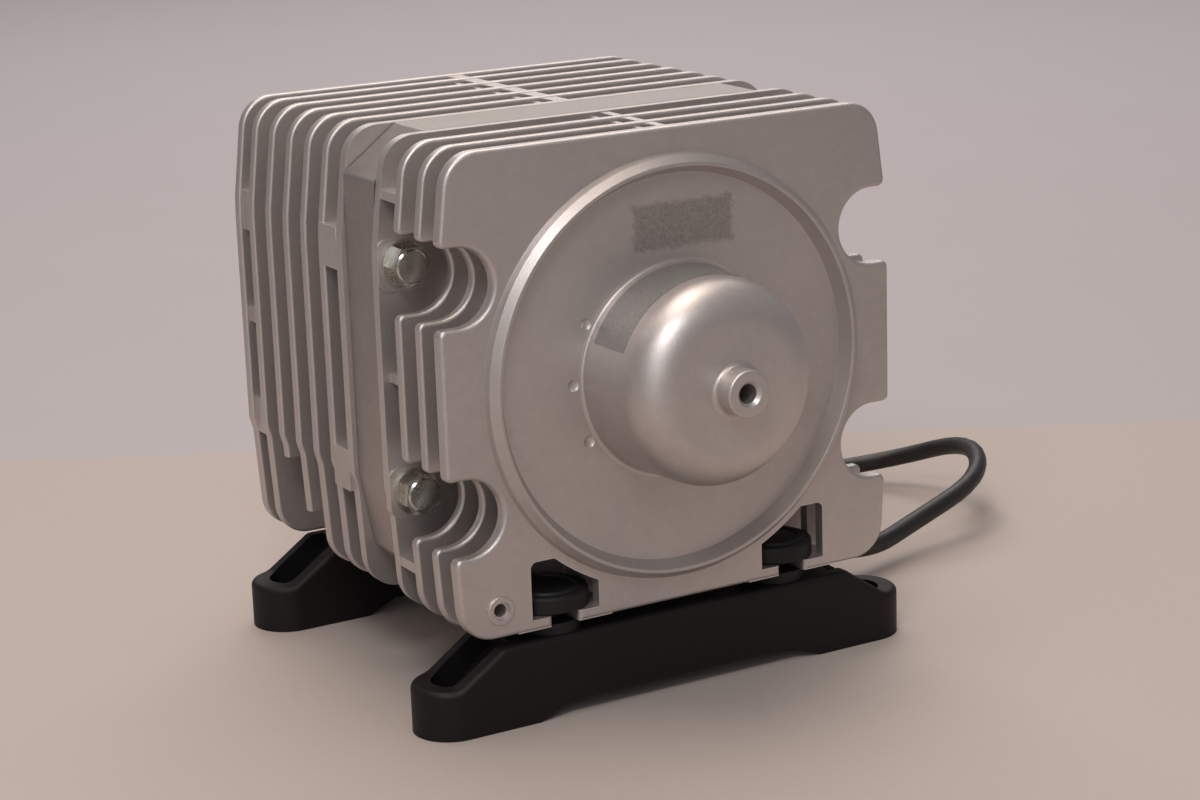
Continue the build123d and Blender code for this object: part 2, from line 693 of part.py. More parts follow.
# ----------------------------------------------------------- clamping bolts
HEAD_TURNS = (0, 25, 12, 40)
with BuildPart() as housing_bolts:
    for turn, (side, row) in zip(HEAD_TURNS, [(side, row) for side in (-1, 1) for row in BOLT_ROWS]):
        with BuildSketch(cross(PAD_FRONT)):
            with Locations((side * BOLT_X, row)):
                Circle(WASHER_R)
        extrude(amount=WASHER_T)
        with BuildSketch(cross(PAD_FRONT - WASHER_T)):
            with Locations(Location((side * BOLT_X, row, 0), (0, 0, turn))):
                RegularPolygon(BOLT_HEAD_AF / 2, 6, major_radius=False)
        extrude(amount=BOLT_HEAD_H)
        with BuildSketch(cross(PAD_FRONT - WASHER_T - BOLT_HEAD_H)):
            with Locations((side * BOLT_X, row)):
                Circle(BOLT_HEAD_AF / 2 - 0.4)
        extrude(amount=0.6, taper=45)
        with BuildSketch(cross(PAD_FRONT + BOLT_LENGTH)):
            with Locations((side * BOLT_X, row)):
                Circle(BOLT_R)
        extrude(amount=BOLT_LENGTH)
    ends = housing_bolts.faces().filter_by(Axis.Y).sort_by(Axis.Y)[-4:]
    chamfer(ends.edges(), 1.0)
housing_bolts.part.label = "housing_bolts"
export_step(housing_bolts.part, "parts/housing_bolts.step")

# ---------------------------------------------------------------- isolators
ISO_NECK = (34.3, 38.7)  # lower and upper end of the neck, over the floor
with BuildPart() as isolators:
    with BuildSketch(Plane.XZ) as spool:
        with BuildLine():
            Polyline(
                (ISO_BORE_R, FOOT_TOP + 0.1),
                (ISO_LOWER_R, FOOT_TOP + 0.1),
                (ISO_LOWER_R, ISO_NECK[0]),
                (ISO_NECK_R, ISO_NECK[0]),
                (ISO_NECK_R, ISO_NECK[1]),
                (ISO_R, ISO_NECK[1]),
                (ISO_R, ISO_HEAD_TOP),
                (ISO_RING[1], ISO_HEAD_TOP),
                (ISO_RING[1] - 0.4, ISO_HEAD_TOP + ISO_RING[2]),
                (ISO_RING[0] + 0.4, ISO_HEAD_TOP + ISO_RING[2]),
                (ISO_RING[0], ISO_HEAD_TOP),
                (0, ISO_HEAD_TOP),
                (0, ISO_SCREW_END + 1),
                (ISO_BORE_R, ISO_SCREW_END + 1),
                close=True,
            )
        make_face()
        fillet(spool.vertices().sort_by_distance((ISO_R, ISO_HEAD_TOP, 0))[0], 1.4)
        fillet(spool.vertices().sort_by_distance((ISO_R, ISO_NECK[1], 0))[0], 0.9)
    revolve(axis=Axis.Z)
one_isolator = isolators.part
with BuildPart() as isolator_set:
    for x in (-ISO_X, ISO_X):
        for depth in FOOT_CENTRES:
            with Locations((x, FACE_Y + depth, 0)):
                add(one_isolator)
isolator_set.part.label = "isolators"
export_step(isolator_set.part, "parts/isolators.step")

ISO_HEAD_H = 1.6
ISO_SOCKET_DEPTH = 3.0
with BuildPart() as isolator_screws:
    for x in (-ISO_X, ISO_X):
        for depth in FOOT_CENTRES:
            with BuildSketch(level(ISO_SCREW_SEAT - ISO_HEAD_H)):
                with Locations((x, depth)):
                    Circle(ISO_SCREW_HEAD_R)
                    RegularPolygon(2.5, 6, mode=Mode.SUBTRACT)
            extrude(amount=-ISO_SOCKET_DEPTH)
            with BuildSketch(level(ISO_SCREW_SEAT - ISO_HEAD_H)):
                with Locations((x, depth)):
                    Circle(ISO_SCREW_HEAD_R)
            extrude(amount=ISO_HEAD_H)
            with BuildSketch(level(ISO_SCREW_SEAT)):
                with Locations((x, depth)):
                    Circle(M5_R)
            extrude(amount=ISO_SCREW_END - ISO_SCREW_SEAT)
isolator_screws.part.label = "isolator_screws"
export_step(isolator_screws.part, "parts/isolator_screws.step")

# --------------------------------------------------------------------- feet
with BuildPart() as foot_channel:
    with BuildSketch(Plane.XY):
        SlotOverall(2 * CHANNEL_END, 2 * CHANNEL_HALF)
    extrude(amount=FOOT_TOP + 10)
    with BuildSketch(Plane.XZ.offset(-FOOT_DEPTH / 2)):
        for side in (-1, 1):
            with BuildLine():
                Polyline(
                    (side * FOOT_HALF, LUG_FLOOR),
                    (side * CHANNEL_FLOOR_X, LUG_FLOOR),
                    (side * CHANNEL_START[0], CHANNEL_START[1]),
                    (side * CHANNEL_START[0], FOOT_TOP + 10),
                    (side * FOOT_HALF, FOOT_TOP + 10),
                    close=True,
                )
            make_face()
    extrude(amount=FOOT_DEPTH, mode=Mode.INTERSECT)

with BuildPart() as foot:
    with BuildSketch(Plane.XZ.offset(-FOOT_DEPTH / 2)) as foot_side:
        with BuildLine():
            Polyline(
                (0, ARCH_TOP),
                (ARCH_HALF[0], ARCH_TOP),
                (ARCH_HALF[1], 0),
                (FOOT_HALF, 0),
                (FOOT_HALF, LUG_TOP),
                (FOOT_SLOPE_END_X, LUG_TOP),
                (FOOT_KNEE_X, FOOT_TOP),
                (0, FOOT_TOP),
                close=True,
            )
        make_face()
        fillet(foot_side.vertices().sort_by_distance((FOOT_SLOPE_END_X, LUG_TOP, 0))[0], 6.0)
        fillet(foot_side.vertices().sort_by_distance((FOOT_KNEE_X, FOOT_TOP, 0))[0], 4.0)
        mirror(about=Plane.YZ)
    extrude(amount=FOOT_DEPTH)
    with BuildSketch(Plane.XY):
        SlotOverall(2 * FOOT_HALF, FOOT_DEPTH)
    extrude(amount=FOOT_TOP + 1, mode=Mode.INTERSECT)
    upper = foot.edges().filter_by(lambda e: e.center().Z > LUG_TOP - 0.5)
    fillet(upper - upper.filter_by(Axis.Y), FOOT_RIM_R)
    # sloping channels that end in round lug recesses
    add(foot_channel.part, mode=Mode.SUBTRACT)
    # holes for the mounting screws and for the isolator screws
    with BuildSketch(Plane.XY.offset(-1)):
        for x in (-LUG_X, LUG_X):
            with Locations((x, 0)):
                Circle(LUG_HOLE_R)
        for x in (-ISO_X, ISO_X):
            with Locations((x, 0)):
                Circle(M5_R + 0.2)
    extrude(amount=FOOT_TOP + 2, mode=Mode.SUBTRACT)
    with BuildSketch(Plane.XY.offset(-1)):
        for x in (-ISO_X, ISO_X):
            with Locations((x, 0)):
                Circle(ISO_SCREW_HEAD_R + 1.1)
    extrude(amount=ISO_SCREW_SEAT + 1, mode=Mode.SUBTRACT)

with BuildPart() as front_foot:
    with Locations((0, FACE_Y + FOOT_CENTRES[0], 0)):
        add(foot.part)
front_foot.part.label = "front_foot"
export_step(front_foot.part, "parts/front_foot.step")

with BuildPart() as rear_foot:
    with Locations((0, FACE_Y + FOOT_CENTRES[1], 0)):
        add(foot.part)
rear_foot.part.label = "rear_foot"
export_step(rear_foot.part, "parts/rear_foot.step")

# ------------------------------------------------------------ blank label
LABEL = (-3.4, -21.5)  # depth of its two long edges
LABEL_T = 0.2
LABEL_ARC = 88
LABEL_START = -157.0
label_near = DOME_R + DOME_DRAFT * LABEL[0] / -DOME_TOP
label_far = DOME_R + DOME_DRAFT * LABEL[1] / -DOME_TOP
with BuildPart() as dome_label:
    with BuildSketch(half_section()):
        with BuildLine():
            Polyline(
                (label_near, LABEL[0]),
                (label_far, LABEL[1]),
                (label_far + LABEL_T, LABEL[1]),
                (label_near + LABEL_T, LABEL[0]),
                close=True,
            )
        make_face()
    revolve(axis=PUMP_AXIS, revolution_arc=LABEL_ARC)
with BuildPart() as label_plate:
    with Locations(Location((0, 0, AXIS_Z), (0, LABEL_START, 0))):
        add(Pos(0, 0, -AXIS_Z) * dome_label.part)
label_plate.part.label = "label_plate"
export_step(label_plate.part, "parts/label_plate.step")

# ----------------------------------------------- cylinder head and its valve
HEAD_GASKET_R = (36.0, 44.0)
HEAD_PORT_PCR = 7.5
HEAD_PORT_R = 2.4
CAGE_SCREW_PCR = 23.0
CAGE_SCREW_R = 1.5
CAGE_SCREW_REACH = 4.0
with BuildPart() as head_gasket:
    with BuildSketch(cross(HEAD_FRONT)):
        Circle(HEAD_GASKET_R[1])
        Circle(HEAD_GASKET_R[0], mode=Mode.SUBTRACT)
    extrude(amount=HEAD_FRONT - PLATE_T)
head_gasket.part.label = "head_gasket"
export_step(head_gasket.part, "parts/head_gasket.step")

with BuildPart() as cylinder_head:
    with BuildSketch(cross(HEAD_BACK)):
        Circle(HEAD_R)
    extrude(amount=HEAD_BACK - HEAD_FRONT)
    chamfer(cylinder_head.edges().filter_by(GeomType.CIRCLE), 0.5)
    with BuildSketch(cross(HEAD_BACK)):
        with PolarLocations(HEAD_PORT_PCR, 6):
            Circle(HEAD_PORT_R)
    extrude(amount=HEAD_BACK - HEAD_FRONT, mode=Mode.SUBTRACT)
    with BuildSketch(cross(HEAD_FRONT + CAGE_SCREW_REACH + 1)):
        with PolarLocations(CAGE_SCREW_PCR, 3, 90):
            Circle(CAGE_SCREW_R + RUNNING)
    extrude(amount=CAGE_SCREW_REACH + 2, mode=Mode.SUBTRACT)
cylinder_head.part.label = "cylinder_head"
export_step(cylinder_head.part, "parts/cylinder_head.step")

CAGE_FRONT = -9.0
CAGE_R = (15.0, 17.0)
CAGE_FLANGE_R = 27.0
CAGE_FLANGE_T = 1.6
CAGE_TOP_T = 1.8
CAGE_AIR_PCR = 10.0
CAGE_WINDOW = 7.0
CAGE_WINDOW_DEPTH = -2.4
GUIDE_R = 2.5
GUIDE_WALL = 1.3
GUIDE_END = 0.5
GUIDE_BORE_START = -6.5
VALVE_R = 13.5
VALVE_T = 1.2
with BuildPart() as discharge_valve:
    with BuildSketch(cross(HEAD_FRONT)):
        Circle(VALVE_R)
    extrude(amount=VALVE_T)
    with BuildSketch(cross(HEAD_FRONT - 1)):
        Circle(GUIDE_R)
    extrude(amount=HEAD_FRONT + 2.0)
    chamfer(discharge_valve.faces().sort_by(Axis.Y)[0].edges(), 0.4)
discharge_valve.part.label = "discharge_valve"
export_step(discharge_valve.part, "parts/discharge_valve.step")

with BuildPart() as valve_cage:
    with BuildSketch(cross(HEAD_FRONT)):
        Circle(CAGE_FLANGE_R)
        Circle(CAGE_R[0], mode=Mode.SUBTRACT)
        with PolarLocations(CAGE_SCREW_PCR, 3, 90):
            Circle(CAGE_SCREW_R + 0.2, mode=Mode.SUBTRACT)
    extrude(amount=CAGE_FLANGE_T)
    with BuildSketch(cross(HEAD_FRONT - 1)):
        Circle(CAGE_R[1])
        Circle(CAGE_R[0], mode=Mode.SUBTRACT)
    extrude(amount=HEAD_FRONT - 1 - CAGE_FRONT)
    with BuildSketch(cross(CAGE_FRONT + CAGE_TOP_T)):
        Circle(CAGE_R[1])
        with PolarLocations(CAGE_AIR_PCR, 6):
            Circle(HEAD_PORT_R, mode=Mode.SUBTRACT)
    extrude(amount=CAGE_TOP_T)
    # two square passages across the cage
    for across in ((0, 0, 1), (1, 0, 0)):
        passage = Plane(origin=(0, FACE_Y + CAGE_WINDOW_DEPTH, AXIS_Z), x_dir=(0, 1, 0), z_dir=across)
        with BuildSketch(passage):
            Rectangle(CAGE_WINDOW, CAGE_WINDOW)
        extrude(amount=CAGE_R[1] + 1, both=True, mode=Mode.SUBTRACT)
    # guide tube for the valve stem
    with BuildSketch(cross(GUIDE_END)):
        Circle(GUIDE_R + GUIDE_WALL)
        Circle(GUIDE_R + RUNNING, mode=Mode.SUBTRACT)
    extrude(amount=GUIDE_END - GUIDE_BORE_START)
    with BuildSketch(cross(GUIDE_BORE_START)):
        Circle(GUIDE_R + GUIDE_WALL)
    extrude(amount=GUIDE_BORE_START - CAGE_FRONT)
valve_cage.part.label = "valve_cage"
export_step(valve_cage.part, "parts/valve_cage.step")

CAGE_SCREW_HEAD = (2.6, 1.8)  # radius and height
with BuildPart() as cage_screws:
    with BuildSketch(cross(HEAD_FRONT - CAGE_FLANGE_T)):
        with PolarLocations(CAGE_SCREW_PCR, 3, 90):
            Circle(CAGE_SCREW_HEAD[0])
    extrude(amount=CAGE_SCREW_HEAD[1])
    with BuildSketch(cross(HEAD_FRONT + CAGE_SCREW_REACH)):
        with PolarLocations(CAGE_SCREW_PCR, 3, 90):
            Circle(CAGE_SCREW_R)
    extrude(amount=CAGE_SCREW_REACH + CAGE_FLANGE_T)
cage_screws.part.label = "cage_screws"
export_step(cage_screws.part, "parts/cage_screws.step")


def coil_spring(start, end, mean_r, wire_r, turns):
    """Compression spring along the pump axis between two depths."""
    height = end - start - 2 * wire_r
    first = (0, FACE_Y + start + wire_r, AXIS_Z)
    with BuildPart() as spring:
        with BuildLine() as path:
            Helix(pitch=height / turns, height=height, radius=mean_r, center=first, direction=(0, 1, 0))
        with BuildSketch(Plane(origin=path.line @ 0, z_dir=path.line % 0)):
            Circle(wire_r)
        sweep(path=path.line, is_frenet=True)
    return spring


VALVE_SPRING = (5.2, 0.5, 5)  # mean radius, wire radius, turns
discharge_spring = coil_spring(CAGE_FRONT + CAGE_TOP_T, HEAD_FRONT - VALVE_T, *VALVE_SPRING)
discharge_spring.part.label = "discharge_spring"
export_step(discharge_spring.part, "parts/discharge_spring.step")

# ------------------------------------------------------ cylinder and piston
CYL_AIR_PCR = 47.0
CYL_AIR_R = 9.0
with BuildPart() as cylinder:
    with BuildSketch(cross(CYL_END)):
        Circle(CYL_OUT_R)
    extrude(amount=CYL_END - HEAD_BACK)
    with BuildSketch(cross(CYL_FLANGE_END)):
        Circle(CYL_FLANGE_R)
        with PolarLocations(CYL_SCREW_PCR, 4, 45):
            Circle(M5_CLEAR_R, mode=Mode.SUBTRACT)
        with PolarLocations(CYL_AIR_PCR, 4):
            Circle(CYL_AIR_R, mode=Mode.SUBTRACT)
    extrude(amount=CYL_FLANGE_END - HEAD_BACK)
    with BuildSketch(cross(CYL_END)):
        Circle(CYL_R)
    extrude(amount=CYL_END - HEAD_BACK, mode=Mode.SUBTRACT)
    chamfer(cylinder.faces().sort_by(Axis.Y)[-1].edges(), 0.6)
cylinder.part.label = "cylinder"
export_step(cylinder.part, "parts/cylinder.step")

CYL_SCREW_LENGTH = 13.0
with BuildPart() as cylinder_screws:
    with BuildSketch(cross(CYL_FLANGE_END + M5_HEAD_H)):
        with PolarLocations(CYL_SCREW_PCR, 4, 45):
            Circle(M5_HEAD_R)
    extrude(amount=M5_HEAD_H)
    with BuildSketch(cross(CYL_FLANGE_END + M5_HEAD_H)):
        with PolarLocations(CYL_SCREW_PCR, 4, 45):
            RegularPolygon(M5_SOCKET_R, 6)
    extrude(amount=M5_SOCKET_DEPTH, mode=Mode.SUBTRACT)
    with BuildSketch(cross(CYL_FLANGE_END)):
        with PolarLocations(CYL_SCREW_PCR, 4, 45):
            Circle(M5_R)
    extrude(amount=CYL_SCREW_LENGTH)
cylinder_screws.part.label = "cylinder_screws"
export_step(cylinder_screws.part, "parts/cylinder_screws.step")

PISTON_R = 19.6
PISTON_HOLLOW_R = 15.2
PISTON_BOSS = (8.0, 6.0)  # radius and height
PISTON_HOLE_R = 2.6
PISTON_PORT_PCR = 11.0
PISTON_PORT_R = 2.3
GROOVE_R = 17.2
RING_DEPTHS = (30.5, 39.0)
RING_H = 3.0
RING_PLAY = 0.03
with BuildPart() as piston:
    with BuildSketch(cross(PISTON_END)):
        Circle(PISTON_R)
    extrude(amount=PISTON_END - CROWN)
    with BuildSketch(cross(PISTON_END)):
        Circle(PISTON_HOLLOW_R)
    extrude(amount=PISTON_END - CROWN - CROWN_T, mode=Mode.SUBTRACT)
    with BuildSketch(cross(CROWN + CROWN_T + PISTON_BOSS[1])):
        Circle(PISTON_BOSS[0])
    extrude(amount=PISTON_BOSS[1] + 1)
    with BuildSketch(cross(CROWN + CROWN_T + PISTON_BOSS[1])):
        Circle(SHAFT_FIT_R)
    extrude(amount=PISTON_BOSS[1], mode=Mode.SUBTRACT)
    with BuildSketch(cross(CROWN + CROWN_T)):
        Circle(PISTON_HOLE_R)
        with PolarLocations(PISTON_PORT_PCR, 6):
            Circle(PISTON_PORT_R)
    extrude(amount=CROWN_T, mode=Mode.SUBTRACT)
    for depth in RING_DEPTHS:
        with BuildSketch(cross(depth + RING_H)):
            Circle(PISTON_R + 1)
            Circle(GROOVE_R, mode=Mode.SUBTRACT)
        extrude(amount=RING_H, mode=Mode.SUBTRACT)
piston.part.label = "piston"
export_step(piston.part, "parts/piston.step")

with BuildPart() as piston_rings:
    for depth in RING_DEPTHS:
        with BuildSketch(cross(depth + RING_H - RING_PLAY)):
            Circle(CYL_R - RUNNING)
            Circle(GROOVE_R + RUNNING, mode=Mode.SUBTRACT)
        extrude(amount=RING_H - 2 * RING_PLAY)
piston_rings.part.label = "piston_rings"
export_step(piston_rings.part, "parts/piston_rings.step")

SPACER_R = 4.6
SUCTION_R = 15.0
SUCTION_T = 1.0
GUARD_R = 12.0
GUARD_T = 1.4
GUARD_NOTCH_R = 4.0
with BuildPart() as suction_valve:
    with BuildSketch(cross(CROWN)):
        Circle(SUCTION_R)
        Circle(SPACER_R + RUNNING, mode=Mode.SUBTRACT)
    extrude(amount=SUCTION_T)
suction_valve.part.label = "suction_valve"
export_step(suction_valve.part, "parts/suction_valve.step")

with BuildPart() as valve_guard:
    with BuildSketch(cross(CROWN)):
        Circle(SPACER_R)
    extrude(amount=SUCTION_T + SUCTION_LIFT + GUARD_T)
    with BuildSketch(cross(CROWN - SUCTION_T - SUCTION_LIFT)):
        Circle(GUARD_R)
        with PolarLocations(GUARD_R, 4, 45):
            Circle(GUARD_NOTCH_R, mode=Mode.SUBTRACT)
    extrude(amount=GUARD_T)
    with BuildSketch(cross(CROWN)):
        Circle(PISTON_HOLE_R)
    extrude(amount=SUCTION_T + SUCTION_LIFT + GUARD_T, mode=Mode.SUBTRACT)
valve_guard.part.label = "valve_guard"
export_step(valve_guard.part, "parts/valve_guard.step")

GUARD_FRONT = CROWN - SUCTION_T - SUCTION_LIFT - GUARD_T
PISTON_SCREW_LENGTH = 19.0
PISTON_SCREW_HEAD_H = 2.0
DRIVER_SLOT_W = 1.0
with BuildPart() as piston_screw:
    with BuildSketch(cross(GUARD_FRONT)):
        Circle(M5_HEAD_R)
    extrude(amount=PISTON_SCREW_HEAD_H)
    with BuildSketch(cross(GUARD_FRONT - PISTON_SCREW_HEAD_H / 2)):
        Rectangle(2 * M5_HEAD_R + 1, DRIVER_SLOT_W)
    extrude(amount=PISTON_SCREW_HEAD_H, mode=Mode.SUBTRACT)
    with BuildSketch(cross(GUARD_FRONT + PISTON_SCREW_LENGTH)):
        Circle(M5_R)
    extrude(amount=PISTON_SCREW_LENGTH)
piston_screw.part.label = "piston_screw"
export_step(piston_screw.part, "parts/piston_screw.step")

SHAFT_COLLAR = (8.0, 4.0)  # radius and thickness
SHAFT_TAP_DEPTH = 14.0
with BuildPart() as piston_shaft:
    with BuildSketch(cross(SHAFT_END)):
        Circle(SHAFT_R)
    extrude(amount=SHAFT_END - CROWN - CROWN_T)
    chamfer(piston_shaft.faces().sort_by(Axis.Y)[-1].edges(), 0.8)
    with BuildSketch(cross(ARMATURE[0])):
        Circle(SHAFT_COLLAR[0])
    extrude(amount=SHAFT_COLLAR[1])
    with BuildSketch(cross(CROWN + CROWN_T + SHAFT_TAP_DEPTH)):
        Circle(M5_TAP_R)
    extrude(amount=SHAFT_TAP_DEPTH, mode=Mode.SUBTRACT)
piston_shaft.part.label = "piston_shaft"
export_step(piston_shaft.part, "parts/piston_shaft.step")

with BuildPart() as armature:
    with BuildSketch(cross(ARMATURE[1])):
        RectangleRounded(2 * ARMATURE_HALF[0], 2 * ARMATURE_HALF[1], 1.0)
        Circle(SHAFT_FIT_R, mode=Mode.SUBTRACT)
    extrude(amount=ARMATURE[1] - ARMATURE[0])
armature.part.label = "armature"
export_step(armature.part, "parts/armature.step")

SPRING_SEAT_R = 20.0
SPRING_SEAT_LIP = (18.4, 3.0)  # inner radius and height
with BuildPart() as spring_seat:
    with BuildSketch(cross(SPRING_SEAT_END)):
        Circle(SPRING_SEAT_R)
        Circle(SHAFT_FIT_R, mode=Mode.SUBTRACT)
    extrude(amount=SPRING_SEAT_END - ARMATURE[1])
    with BuildSketch(cross(SPRING_SEAT_END + SPRING_SEAT_LIP[1])):
        Circle(SPRING_SEAT_R)
        Circle(SPRING_SEAT_LIP[0], mode=Mode.SUBTRACT)
    extrude(amount=SPRING_SEAT_LIP[1])
spring_seat.part.label = "spring_seat"
export_step(spring_seat.part, "parts/spring_seat.step")

NUT_AF = 17.0
NUT_H = 5.0
with BuildPart() as shaft_nut:
    with BuildSketch(cross(SPRING_SEAT_END + NUT_H)):
        RegularPolygon(NUT_AF / 2, 6, major_radius=False)
        Circle(SHAFT_FIT_R, mode=Mode.SUBTRACT)
    extrude(amount=NUT_H)
shaft_nut.part.label = "shaft_nut"
export_step(shaft_nut.part, "parts/shaft_nut.step")

return_spring = coil_spring(SPRING_SEAT_END, SPRING_END, SPRING_MEAN_R, SPRING_WIRE_R, SPRING_TURNS)
return_spring.part.label = "return_spring"
export_step(return_spring.part, "parts/return_spring.step")

with BuildPart() as guide_bush:
    with BuildSketch(cross(GUIDE[1])):
        Circle(BUSH_R)
        Circle(SHAFT_R + RUNNING, mode=Mode.SUBTRACT)
    extrude(amount=GUIDE[1] - GUIDE[0])
guide_bush.part.label = "guide_bush"
export_step(guide_bush.part, "parts/guide_bush.step")

# ------------------------------------------------------------ electromagnet
POLE_X = 23.0
LEG_HALF = 9.0
YOKE = (44.0, 56.0)
OUTER_LEG = (25.0, 35.0)
with BuildSketch() as lamination:
    with Locations(((YOKE[0] + YOKE[1]) / 2, 0)):
        Rectangle(YOKE[1] - YOKE[0], 2 * OUTER_LEG[1])
    with Locations(((POLE_X + YOKE[1]) / 2, 0)):
        Rectangle(YOKE[1] - POLE_X, 2 * LEG_HALF)
    for side in (-1, 1):
        with Locations(((POLE_X + YOKE[1]) / 2, side * (OUTER_LEG[0] + OUTER_LEG[1]) / 2)):
            Rectangle(YOKE[1] - POLE_X, OUTER_LEG[1] - OUTER_LEG[0])
        with Locations((STATOR_SCREW[0], side * STATOR_SCREW[1])):
            Circle(M5_CLEAR_R, mode=Mode.SUBTRACT)

with BuildPart() as stator_core_right:
    with BuildSketch(cross(STATOR[1])):
        add(lamination.sketch)
    extrude(amount=STATOR[1] - STATOR[0])
stator_core_right.part.label = "stator_core_right"
export_step(stator_core_right.part, "parts/stator_core_right.step")

with BuildPart() as stator_core_left:
    add(stator_core_right.part)
    mirror(about=Plane.YZ, mode=Mode.REPLACE)
stator_core_left.part.label = "stator_core_left"
export_step(stator_core_left.part, "parts/stator_core_left.step")

STATOR_MID = (STATOR[0] + STATOR[1]) / 2
STATOR_DEPTH = STATOR[1] - STATOR[0]
BOBBIN = (23.6, 43.6)
BOBBIN_WALL = 1.4
BOBBIN_FLANGE = (STATOR_DEPTH + 26.0, 2 * OUTER_LEG[0] - 1.0)
BOBBIN_TUBE = (STATOR_DEPTH + 3.0, 2 * LEG_HALF + 3.0)
CORE_PLAY = 0.4
WINDING = (STATOR_DEPTH + 23.0, 2 * OUTER_LEG[0] - 4.0)
WINDING_CORNER_R = 8.0
WINDING_GAP = 0.1
with BuildPart() as bobbin_right:
    side_plane = Plane(origin=(BOBBIN[0], FACE_Y + STATOR_MID, AXIS_Z), x_dir=(0, 1, 0), z_dir=(1, 0, 0))
    with BuildSketch(side_plane):
        RectangleRounded(*BOBBIN_TUBE, 1.2)
    extrude(amount=BOBBIN[1] - BOBBIN[0])
    with BuildSketch(side_plane):
        RectangleRounded(*BOBBIN_FLANGE, 2.0)
    extrude(amount=BOBBIN_WALL)
    with BuildSketch(side_plane.offset(BOBBIN[1] - BOBBIN[0] - BOBBIN_WALL)):
        RectangleRounded(*BOBBIN_FLANGE, 2.0)
    extrude(amount=BOBBIN_WALL)
    with BuildSketch(side_plane):
        Rectangle(STATOR_DEPTH + CORE_PLAY, 2 * LEG_HALF + CORE_PLAY)
    extrude(amount=BOBBIN[1] - BOBBIN[0], mode=Mode.SUBTRACT)
bobbin_right.part.label = "bobbin_right"
export_step(bobbin_right.part, "parts/bobbin_right.step")

with BuildPart() as bobbin_left:
    add(bobbin_right.part)
    mirror(about=Plane.YZ, mode=Mode.REPLACE)
bobbin_left.part.label = "bobbin_left"
export_step(bobbin_left.part, "parts/bobbin_left.step")

with BuildPart() as coil_right:
    with BuildSketch(side_plane.offset(BOBBIN_WALL + WINDING_GAP)):
        RectangleRounded(*WINDING, WINDING_CORNER_R)
        Rectangle(*[size + 2 * WINDING_GAP for size in BOBBIN_TUBE], mode=Mode.SUBTRACT)
    extrude(amount=BOBBIN[1] - BOBBIN[0] - 2 * (BOBBIN_WALL + WINDING_GAP))
coil_right.part.label = "coil_right"
export_step(coil_right.part, "parts/coil_right.step")

with BuildPart() as coil_left:
    add(coil_right.part)
    mirror(about=Plane.YZ, mode=Mode.REPLACE)
coil_left.part.label = "coil_left"
export_step(coil_left.part, "parts/coil_left.step")

with BuildPart() as stator_screws:
    for x in (-STATOR_SCREW[0], STATOR_SCREW[0]):
        for z in (-STATOR_SCREW[1], STATOR_SCREW[1]):
            with BuildSketch(cross(STATOR[1] + M5_HEAD_H)):
                with Locations((x, z)):
                    Circle(M5_HEAD_R)
            extrude(amount=M5_HEAD_H)
            with BuildSketch(cross(STATOR[1] + M5_HEAD_H)):
                with Locations((x, z)):
                    RegularPolygon(M5_SOCKET_R, 6)
            extrude(amount=M5_SOCKET_DEPTH, mode=Mode.SUBTRACT)
            with BuildSketch(cross(STATOR[1])):
                with Locations((x, z)):
                    Circle(M5_R)
            extrude(amount=STATOR_DEPTH + STATOR_SCREW_DEPTH - 1)
stator_screws.part.label = "stator_screws"
export_step(stator_screws.part, "parts/stator_screws.step")

PROTECTOR = (8.0, 18.0, 4.5)
with BuildPart() as thermal_protector:
    with BuildSketch(cross(STATOR_MID + WINDING[0] / 2 + PROTECTOR[2] + 0.1)):
        with Locations(((BOBBIN[0] + BOBBIN[1]) / 2, 0)):
            RectangleRounded(PROTECTOR[0], PROTECTOR[1], 1.5)
    extrude(amount=PROTECTOR[2])
thermal_protector.part.label = "thermal_protector"
export_step(thermal_protector.part, "parts/thermal_protector.step")

TERMINALS = (50.0, -67.0)
TERMINAL_SIZE = (24.0, 11.0, 10.0)
TERMINAL_STEP = 7.5
TERMINAL_HOLE = (2.2, 3.0)  # radius and depth
TERMINAL_END = FRAME_FRONT + FRAME_WEB_T + TERMINAL_SIZE[2]
with BuildPart() as terminal_block:
    with BuildSketch(cross(TERMINAL_END)):
        with Locations(TERMINALS):
            RectangleRounded(TERMINAL_SIZE[0], TERMINAL_SIZE[1], 1.0)
    extrude(amount=TERMINAL_SIZE[2])
    with BuildSketch(cross(TERMINAL_END)):
        for step in (-1, 0, 1):
            with Locations((TERMINALS[0] + step * TERMINAL_STEP, TERMINALS[1])):
                Circle(TERMINAL_HOLE[0])
    extrude(amount=TERMINAL_HOLE[1], mode=Mode.SUBTRACT)
terminal_block.part.label = "terminal_block"
export_step(terminal_block.part, "parts/terminal_block.step")

# ------------------------------------------------------------ filter, cover
FILTER_R = 49.0
FILTER_END = 184.2
FILTER_GAP = 0.4
with BuildPart() as filter_element:
    with BuildSketch(cross(FILTER_END)):
        Circle(FILTER_R)
    extrude(amount=FILTER_END - BACK_END - FILTER_GAP)
filter_element.part.label = "filter_element"
export_step(filter_element.part, "parts/filter_element.step")

